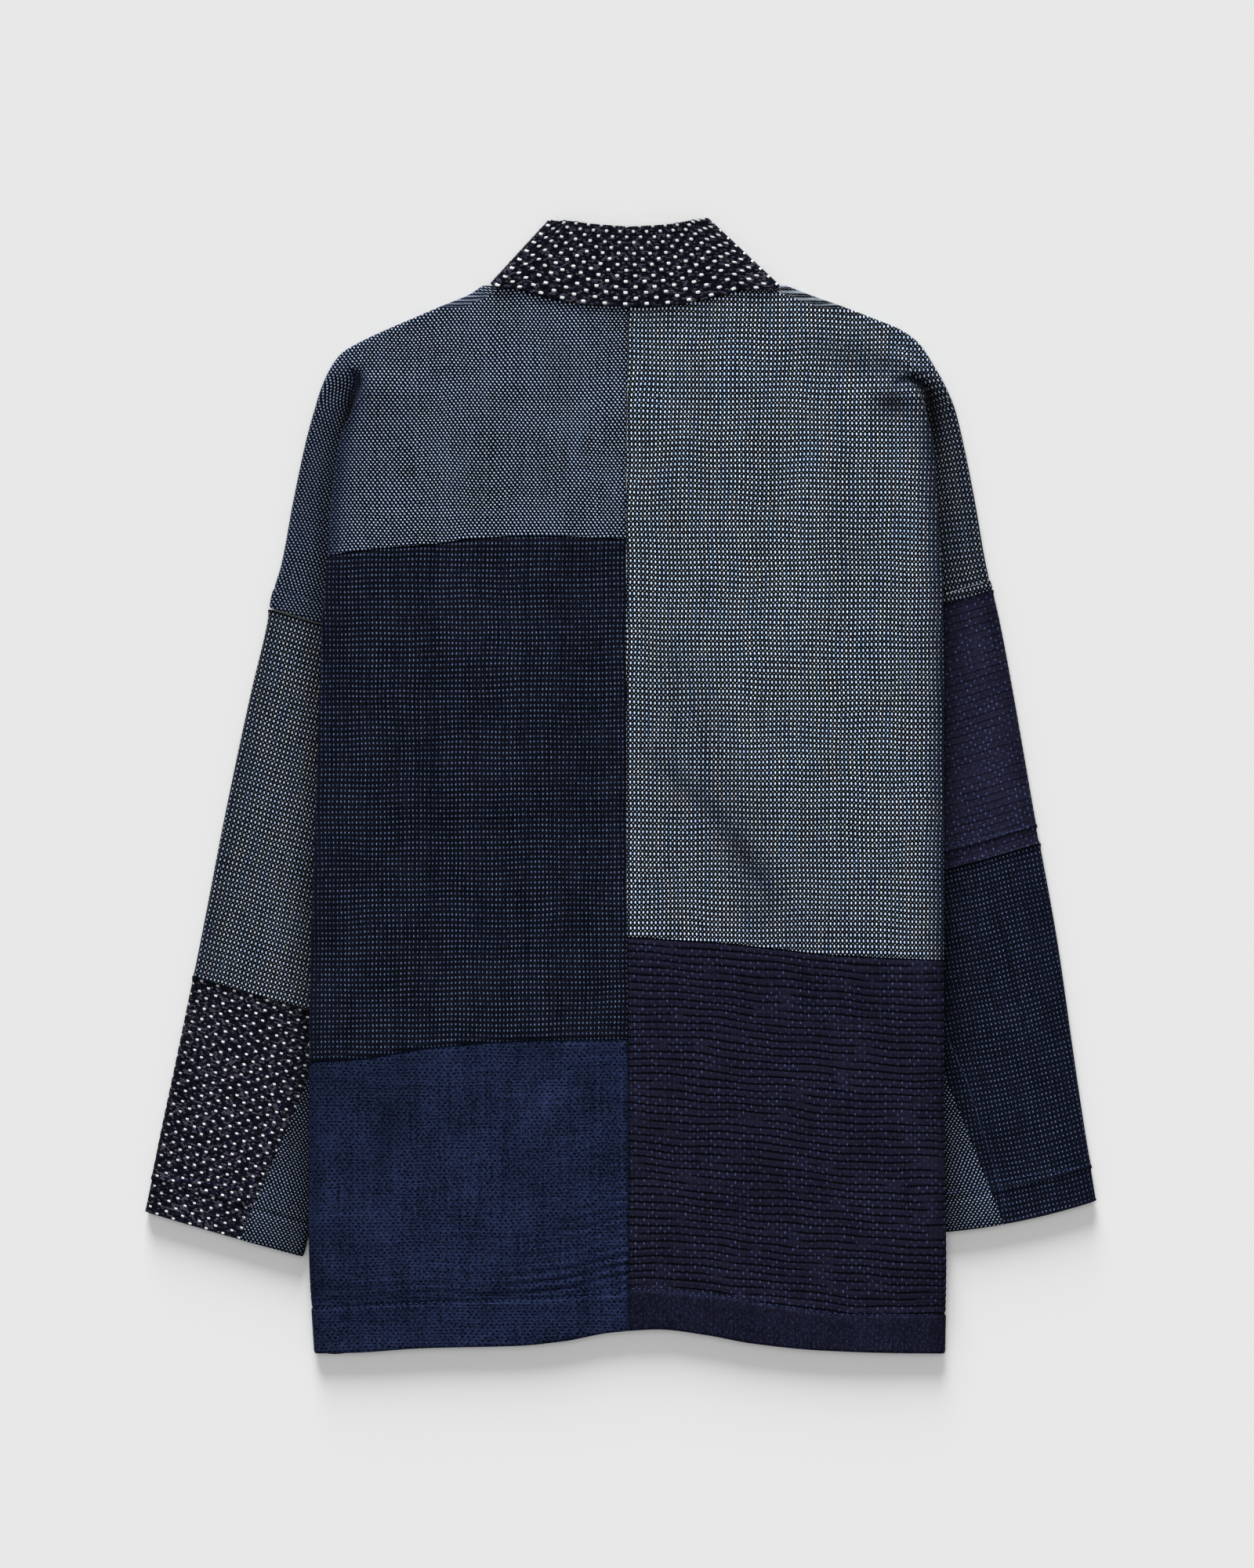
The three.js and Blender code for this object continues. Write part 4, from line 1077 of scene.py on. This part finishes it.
def add_body(name, side, blocks, ys, cloth, keep=None, centre=None, top=None, bottom=None, hem=None,
             ribs=False, arm=None, sleeve_fade=1, sleeve_dim=1, extra=None, edge_tone=0.4):
    plan = section(side, blocks, ys)
    x, y = plan[..., 0], plan[..., 1]
    grid = place(plan)
    across, down = edge_ways(grid)
    up = down[-1:] - down
    relief = 0 * across
    fade = 1 + relief
    shade = 1 + relief
    plain = 0 * relief
    ribs_along = down + rib_sway(x, y) * smooth(0, 12, down)
    out_across = across + np.abs(plan[:, :1, 0] - centre_at(side, NECK_BASE_Y)) * UNIT
    lay = np.stack([out_across, -ribs_along if ribs else (PLAN_MIDDLE_Y - y) * UNIT], -1)
    back = np.isin(column_parts(blocks), ["back", "turn"])[None, :]
    if centre:
        relief += seam(across, centre, down, 0.4)
        shade -= seam_shade(across, CENTRE_SHADE)
    if top:
        relief += seam(down, top, across, 1.1) * back
        shade -= seam_shade(down, TOP_SHADE) * back
    if bottom:
        relief += seam(up, bottom, across, 2.2) * back
        # Lighter along the bottom edge, or painted shade there where edge_tone is below zero.
        shade += edge_tone * bell(up - EDGE_WIDE, EDGE_WIDE) * back
    if hem:
        depth = (hem_at(BACK_HEM, x) - hem_at(HEM_STITCHES, x)) * UNIT
        relief += turned(up, across, depth, hem)
        shade *= hem_wear_and_shade(up, across, depth, hem)
    if ribs:
        plain = 1 - smooth(depth - 1.5, depth + 0.5, up)
        relief += rib_relief(ribs_along, x, y) * (1 - plain)
    if arm:
        lay, on_sleeve = sleeve_lay(side, blocks, plan, across, lay)
        on_sleeve = on_sleeve[None, :]
        turn = turned(up, across, arm, 1.9, SMALL_PUCKER)
        relief += np.where(on_sleeve, turn + seam(up, OVER, across, 3.3), 0)
        # Painted shade on the sleeve part below the crease head, beside the body's edge and toward the outer
        # fold, and on the body's edge.
        settled = below_crease(side, y, DIM_FROM)
        dim = lerp(1, sleeve_dim, settled) * painted_edge_shade(side, plan, SLEEVE_REACH, SLEEVE_SHARE)
        fade *= np.where(on_sleeve, lerp(1, sleeve_fade, settled), 1)
        shade *= np.where(on_sleeve, arm_wear_and_shade(up, arm), 1)
        shade *= np.where(on_sleeve, dim, 1)
        edge = painted_edge_shade(side, plan, EDGE_REACH, EDGE_SHARE)
        fade *= np.where(on_sleeve, rounded(side, plan, OUTER_SHARE), edge)
    else:
        fade *= painted_edge_shade(side, plan, FRONT_REACH, FRONT_SHARE)
    shade *= 1 - fold_rise(CREASE_SHADE, x, y)
    # Painted shade in crease hollows, and painted light where a share is below zero, on the back and above
    # the level line.
    fade *= np.where(back | (y < LEVEL_Y), 1 - fold_rise(TONE_AND_FOLD_SHADE, x, y), 1)
    if extra:
        ripple = extra(x, y, across, up)
        relief += ripple
        # Painted light on the ripples' crests and painted shade in their troughs.
        shade += 0.5 * ripple
    add_piece(name, grid, cloth, lay, relief, keep, side.out < 0, fade=fade, shade=shade, plain=plain)


def crinkles(x, y, across, up):
    """Level ripples that gather toward the centre seam and the hem of the plain blue patch."""
    at_seam = bell(across, 70) * smooth(1390, 1600, y)
    at_hem = 0.9 * bell(up - 46, 16) * (0.3 + 0.7 * bell(across, 150))
    gather = (at_seam + at_hem) * smooth(33, 40, up)
    swing = np.sin(up / 1.15 + 1.5 * np.sin(x / 47) + 0.7 * np.sin(x / 19))
    swing = swing + 0.5 * np.sin(up / 0.66 + 2 * np.sin(x / 37))
    breaks = 0.35 + 0.65 * np.abs(np.sin(x / 53 + 1.7 * np.sin(y / 31)))
    return 0.5 * gather * swing * breaks


yoke_seam = lambda x: hem_at(YOKE_SEAM, x)
left_hem_seam = lambda x: hem_at(LEFT_HEM_SEAM, x)
right_hem_seam = lambda x: hem_at(RIGHT_HEM_SEAM, x)
back_hem = lambda x: hem_at(BACK_HEM, x) + HALF_SEAM
SHOULDER_SPLIT = RIGHT.under_top[1]

add_body("yoke_left", LEFT, SHOULDER_COLUMNS, shoulder_rows(LEFT, yoke_seam, 56), DOTTED,
         centre=CENTRE_UNDER, bottom=OVER, arm=LEFT_ARM_DEPTH, sleeve_fade=0.72, sleeve_dim=0.88)
add_body("back_left_middle", LEFT, BACK_COLUMNS, back_rows(LEFT, yoke_seam, left_hem_seam, 120), DASHED,
         centre=CENTRE_UNDER, top=UNDER, bottom=OVER, edge_tone=-0.4)
add_body("back_left_hem", LEFT, BACK_COLUMNS, back_rows(LEFT, left_hem_seam, back_hem, 170), PEBBLED,
         centre=CENTRE_UNDER, top=UNDER, hem=1.7, extra=crinkles)

upper = shoulder_rows(RIGHT, lambda x: SHOULDER_SPLIT + 0 * x, 46)
lower = back_rows(RIGHT, lambda x: SHOULDER_SPLIT - 2 * HALF_SEAM + 0 * x, right_hem_seam, 120)[1:]
back_wide = lower.shape[1]
lower = np.concatenate([lower, np.repeat(upper[-1:, back_wide:], len(lower), 0)], 1)
kept = np.ones((len(upper) + len(lower) - 1, upper.shape[1] - 1), bool)
kept[len(upper) - 1:, back_wide - 1:] = False
add_body("back_right_upper", RIGHT, SHOULDER_COLUMNS, np.concatenate([upper, lower]), GRAINED, keep=kept,
         centre=CENTRE_OVER, bottom=OVER, arm=RIGHT_ARM_DEPTH, sleeve_fade=0.72, sleeve_dim=0.7)
add_body("back_right_hem", RIGHT, BACK_COLUMNS, back_rows(RIGHT, right_hem_seam, back_hem, 220), RIBBED,
         centre=CENTRE_OVER, top=UNDER, hem=4.2, ribs=True)
add_body("front_left", LEFT, FRONT_COLUMNS, front_rows(LEFT, 150), PEBBLED, hem=2.3)
add_body("front_right", RIGHT, FRONT_COLUMNS, front_rows(RIGHT, 150), DOTTED, hem=5.1)


def add_band(name, rows, step, dim=0.0):
    grid = place(refine(rows, step))
    fade = 1 - dim * smooth(0.35, 1, np.linspace(0, 1, grid.shape[1]))[None, :]
    across, down = edge_ways(grid)
    middle = down - down[len(down) // 2][None, :]
    straight = np.repeat(middle[:, BAND_CELLS // 2, None], grid.shape[1], 1)
    lay = np.stack([straight, across], -1)
    add_piece(name, grid, KNOBBED, lay, knob_relief(straight, across), thick=BAND, fade=fade)


add_band("collar_back", collar_half(LEFT)[::-1] + collar_half(RIGHT)[1:], 1.2, 0.25)
add_band("collar_front_left", band_rows(LEFT, 1690), 5)
add_band("collar_front_right", band_rows(RIGHT, 1690), 5)


def add_sleeve(name, side, made, cloth, top=UNDER, cuff=None, turn=None, knobs=False, ribs=False, fade=1.0,
               tone=0.3, dim=1.0):
    points, way, v = made
    grid = place(points)
    long = math.hypot(side.arm_outer[0] - side.cuff_inner[0], side.arm_outer[1] - side.cuff_inner[1]) * UNIT
    lay = np.stack(np.broadcast_arrays(way * UNIT, -v * long), -1)
    across, down = edge_ways(grid)
    up = down[-1:] - down
    relief = seam(down, top, across, 0.7)
    # Painted shade toward the outer fold; dim darkens the whole piece and the body's edge darkens it nearby,
    # all as painted shade.
    faded = fade * rounded(side, points, tone)
    shade = dim * (1 - seam_shade(down, SLEEVE_SHADE)) * painted_edge_shade(side, points, SLEEVE_REACH, LOW_SLEEVE_SHARE)
    if cuff:
        relief = relief + turned(up, across, CUFF_DEPTH, cuff, CUFF_PUCKER)
        shade = shade * hem_wear_and_shade(up, across, CUFF_DEPTH, cuff)
    elif turn:
        relief = relief + turned(up, across, turn, 2.6, SMALL_PUCKER) + seam(up, OVER, across, 1.4)
        shade = shade * arm_wear_and_shade(up, turn)
    else:
        relief = relief + seam(up, OVER, across, 1.4)
    if knobs:
        relief = relief + knob_relief(lay[..., 0], lay[..., 1])
    if ribs:
        relief = relief + 0.4 * rib_relief(lay[..., 1], points[..., 0], points[..., 1])
    add_piece(name, grid, cloth, lay, relief, flip=side.out > 0, fade=faded, shade=shade)


add_sleeve("sleeve_left_middle", LEFT, sleeve_rows(LEFT, 0, LEFT.split, 120), GRAINED,
           fade=0.86, tone=0.45, dim=0.77)
add_sleeve("sleeve_left_cuff", LEFT, sleeve_rows(LEFT, LEFT.split, 1, 150), KNOBBED,
           cuff=1.3, knobs=True, fade=1.12)
add_sleeve("sleeve_left_gusset", LEFT, gusset_rows(LEFT, 84), DOTTED,
           top=OVER, cuff=2.9, fade=0.76, dim=0.72)
add_sleeve("sleeve_right_upper", RIGHT, sleeve_rows(RIGHT, 0, RIGHT.split, 120), RIBBED_SLEEVE,
           turn=ELBOW_DEPTH, ribs=True, fade=1.4)
add_sleeve("sleeve_right_lower", RIGHT, sleeve_rows(RIGHT, RIGHT.split, 1, 150), DASHED,
           cuff=3.6, fade=0.8)
add_sleeve("sleeve_right_gusset", RIGHT, gusset_rows(RIGHT, 84), DOTTED,
           top=OVER, cuff=0.8, fade=0.8, dim=0.77)


# Stitches: short raised threads on the cloth under them, along lines on the plan.
def thread(name, dark, light):
    material, u, v = start_cloth(name)
    grain = drift(u / 0.4, v / 0.4, 2.2, 0)
    return end_cloth(material, tint(grain, dark, light), grain, 0.1)


BLUE = thread("blue_thread_look", (40, 58, 102), (74, 98, 150))
DARK = thread("dark_thread_look", (14, 18, 32), (44, 54, 84))
PALE = thread("pale_thread_look", (150, 164, 178), (226, 234, 236))
SIDES = 6
THREAD_HALF = 0.2
STITCH_RISE = 0.24
STITCH_SINK = 0.05
SHAKE = 0.3
DROP_FROM = 200
RINGS = table(["along", "thick"], [(-1, 0.35), (-0.7, 0.9), (0, 1), (0.7, 0.9), (1, 0.35)])


def drop(node, x, y):
    """The cloth's top face under a place on the plan, in metres, or None where there is none."""
    start = Vector(place(np.array((x, y, DROP_FROM), float)))
    hit, found, _, _ = things[node].ray_cast(start, Vector((0, 0, -1)))
    return found.copy() if hit else None


def stitch(a, b, start):
    """Points and faces of one short thread from a to b, arched a little; start is its first point."""
    points, faces = [], []
    side_way = np.cross((b - a) / max(np.linalg.norm(b - a), 1e-9), (0, 0, 1))
    for along, thick in zip(RINGS["along"], RINGS["thick"]):
        middle = (a + b) / 2 + (b - a) / 2 * along
        middle[2] += (STITCH_RISE * (1 - along ** 2) - STITCH_SINK) * MM
        for turn in range(SIDES):
            angle = 2 * math.pi * turn / SIDES
            out = side_way * math.cos(angle) + np.array((0, 0, 1)) * math.sin(angle)
            points.append(middle + out * THREAD_HALF * thick * MM)
    last = (len(RINGS["along"]) - 1) * SIDES
    for p in range(last):
        q = p + 1 if (p + 1) % SIDES else p + 1 - SIDES
        faces.append((p, q, q + SIDES, p + SIDES))
    faces += [range(SIDES - 1, -1, -1), range(last, last + SIDES)]
    return points, [tuple(start + p for p in face) for face in faces]


def sew(name, node, line, long, gap, paint):
    """A row of stitches, long and gap in millimetres, along a line of plan points."""
    line = np.array(line, float)
    ways = np.concatenate([[0], np.cumsum(np.linalg.norm(np.diff(line, axis=0), axis=1))]) * UNIT
    points, faces = [], []
    for k in range(int((ways[-1] - long) / (long + gap))):
        middle = long / 2 + k * (long + gap) + SHAKE * math.sin(k * 2.4)
        half = long / 2 * (1 + 0.15 * math.sin(k * 1.7))
        ends = []
        for way in (middle - half, middle + half):
            x, y = (np.interp(way, ways, line[:, axis]) for axis in (0, 1))
            ends.append(drop(node, x, y + 0.25 * math.sin(k * 3.1)))
        if None not in ends:
            more_points, more_faces = stitch(*(np.array(end) for end in ends), len(points))
            points += more_points
            faces += more_faces
    mesh = bpy.data.meshes.new(name)
    mesh.from_pydata(points, [], faces)
    layer = mesh.uv_layers.new(name="cloth")
    for loop in mesh.loops:
        layer.data[loop.index].uv = mesh.vertices[loop.vertex_index].co.xy
    for key in ("fade", "shade"):
        write_levels(mesh, key, np.ones(len(mesh.vertices)))
    mesh.polygons.foreach_set("use_smooth", [True] * len(mesh.polygons))
    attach(show(name, mesh, paint), "root")


def beside(rows, offset, start, end, steps=24):
    """A line offset plan units below a seam that is read by x."""
    return [(x, hem_at(rows, x) + offset) for x in np.linspace(start, end, steps)]


# Rows of stitches: the piece under them, their line, stitch and gap in millimetres, thread.
STITCHES = {
    "hem_left": ("back_left_hem", beside(HEM_STITCHES, 0, 399, 797), 2.4, 2.2, BLUE),
    "hem_right": ("back_right_hem", beside(HEM_STITCHES, 0, 806, 1201), 2.4, 2.2, BLUE),
    "left_patch": ("back_left_middle", beside(LEFT_HEM_SEAM, -6, 402, 796), 2.0, 1.8, DARK),
    "centre_one": ("back_left_hem", [(793, 1332), (794, 1690)], 2.2, 2.4, BLUE),
    "centre_two": ("back_left_hem", [(786, 1334), (787, 1692)], 2.2, 2.4, DARK),
    "arm_left": ("yoke_left", [(358, 749), (374, 757), (408, 771)], 2.2, 2.0, BLUE),
    "arm_right": ("back_right_upper", [(1208, 757), (1236, 748), (1265, 740)], 1.9, 1.5, PALE),
    "elbow_right": ("sleeve_right_upper", [(1207, 1077), (1260, 1067), (1321, 1054)], 2.2, 2.0, BLUE),
    "cuff_left": ("sleeve_left_cuff", [(196, 1499), (254, 1508), (314, 1517)], 2.4, 2.2, BLUE),
    "gusset_left": ("sleeve_left_gusset", [(322, 1520), (352, 1528), (384, 1545)], 2.4, 2.2, BLUE),
    "cuff_right": ("sleeve_right_lower", [(1275, 1507), (1330, 1497), (1390, 1487)], 2.4, 2.2, BLUE),
    "gusset_right": ("sleeve_right_gusset", [(1208, 1522), (1240, 1518), (1266, 1514)], 2.4, 2.2, BLUE),
    "wedge_left": ("sleeve_left_cuff", [(368, 1385), (352, 1422), (333, 1472), (304, 1572)], 2.2, 1.7, BLUE),
    "wedge_right": ("sleeve_right_lower", [(1210, 1326), (1235, 1382), (1268, 1488), (1287, 1556)],
                    2.2, 1.7, BLUE),
}
for sewn, row in STITCHES.items():
    sew("stitches_" + sewn, *row)


# The floor, the light and the camera.
FLOOR_SIZE = 12
FLOOR_GREY = 0.8
floor_mesh = bpy.data.meshes.new("floor")
half = FLOOR_SIZE / 2
corners = [(-half, -half, 0), (half, -half, 0), (half, half, 0), (-half, half, 0)]
floor_mesh.from_pydata(corners, [], [(0, 1, 2, 3)])
paper = bpy.data.materials.new("paper")
paper.use_nodes = True
paper_inputs = paper.node_tree.nodes["Principled BSDF"].inputs
paper_inputs["Base Color"].default_value = (FLOOR_GREY, FLOOR_GREY, FLOOR_GREY, 1)
paper_inputs["Roughness"].default_value = 1
paper_inputs["Specular IOR Level"].default_value = 0
show("floor", floor_mesh, paper)

SKY = 0.2
world = bpy.data.worlds.new("studio")
world.use_nodes = True
world.node_tree.nodes["Background"].inputs["Color"].default_value = (1, 1, 1, 1)
world.node_tree.nodes["Background"].inputs["Strength"].default_value = SKY
bpy.context.scene.world = world


def soft_lamp(name, rise, turn, spread, level):
    """A far lamp, with its angles in degrees and how much it lights the level floor."""
    rise, turn = math.radians(rise), math.radians(turn)
    lamp = bpy.data.lights.new(name, "SUN")
    lamp.energy = level * math.pi / math.sin(rise)
    lamp.angle = math.radians(spread)
    holder = bpy.data.objects.new(name, lamp)
    flat = math.cos(rise)
    toward = Vector((math.sin(turn) * flat, math.cos(turn) * flat, math.sin(rise)))
    holder.rotation_euler = (-toward).to_track_quat("-Z", "Y").to_euler()
    bpy.context.scene.collection.objects.link(holder)


# One soft lamp over the jacket and a low one beyond its collar; with the sky they light the floor
# evenly. The columns are rise, turn and spread in degrees, and the level on the floor.
LAMPS = {"overhead": (84, -20, 50, 0.388), "window": (17, -6, 26, 0.42)}
for lamp_name, lamp_row in LAMPS.items():
    soft_lamp(lamp_name, *lamp_row)

LENS = 85
SENSOR = 36
SHOWN = 1.2
VIEW_HEIGHT = 0.012
VIEW_OVER = (0.0048, 0.0012)
camera_data = bpy.data.cameras.new("camera")
camera_data.lens = LENS
camera_data.sensor_width = SENSOR
camera = bpy.data.objects.new("camera", camera_data)
camera.location = (*VIEW_OVER, VIEW_HEIGHT + SHOWN * LENS / SENSOR)
bpy.context.scene.collection.objects.link(camera)
bpy.context.scene.camera = camera
bpy.context.scene.view_settings.view_transform = "Standard"
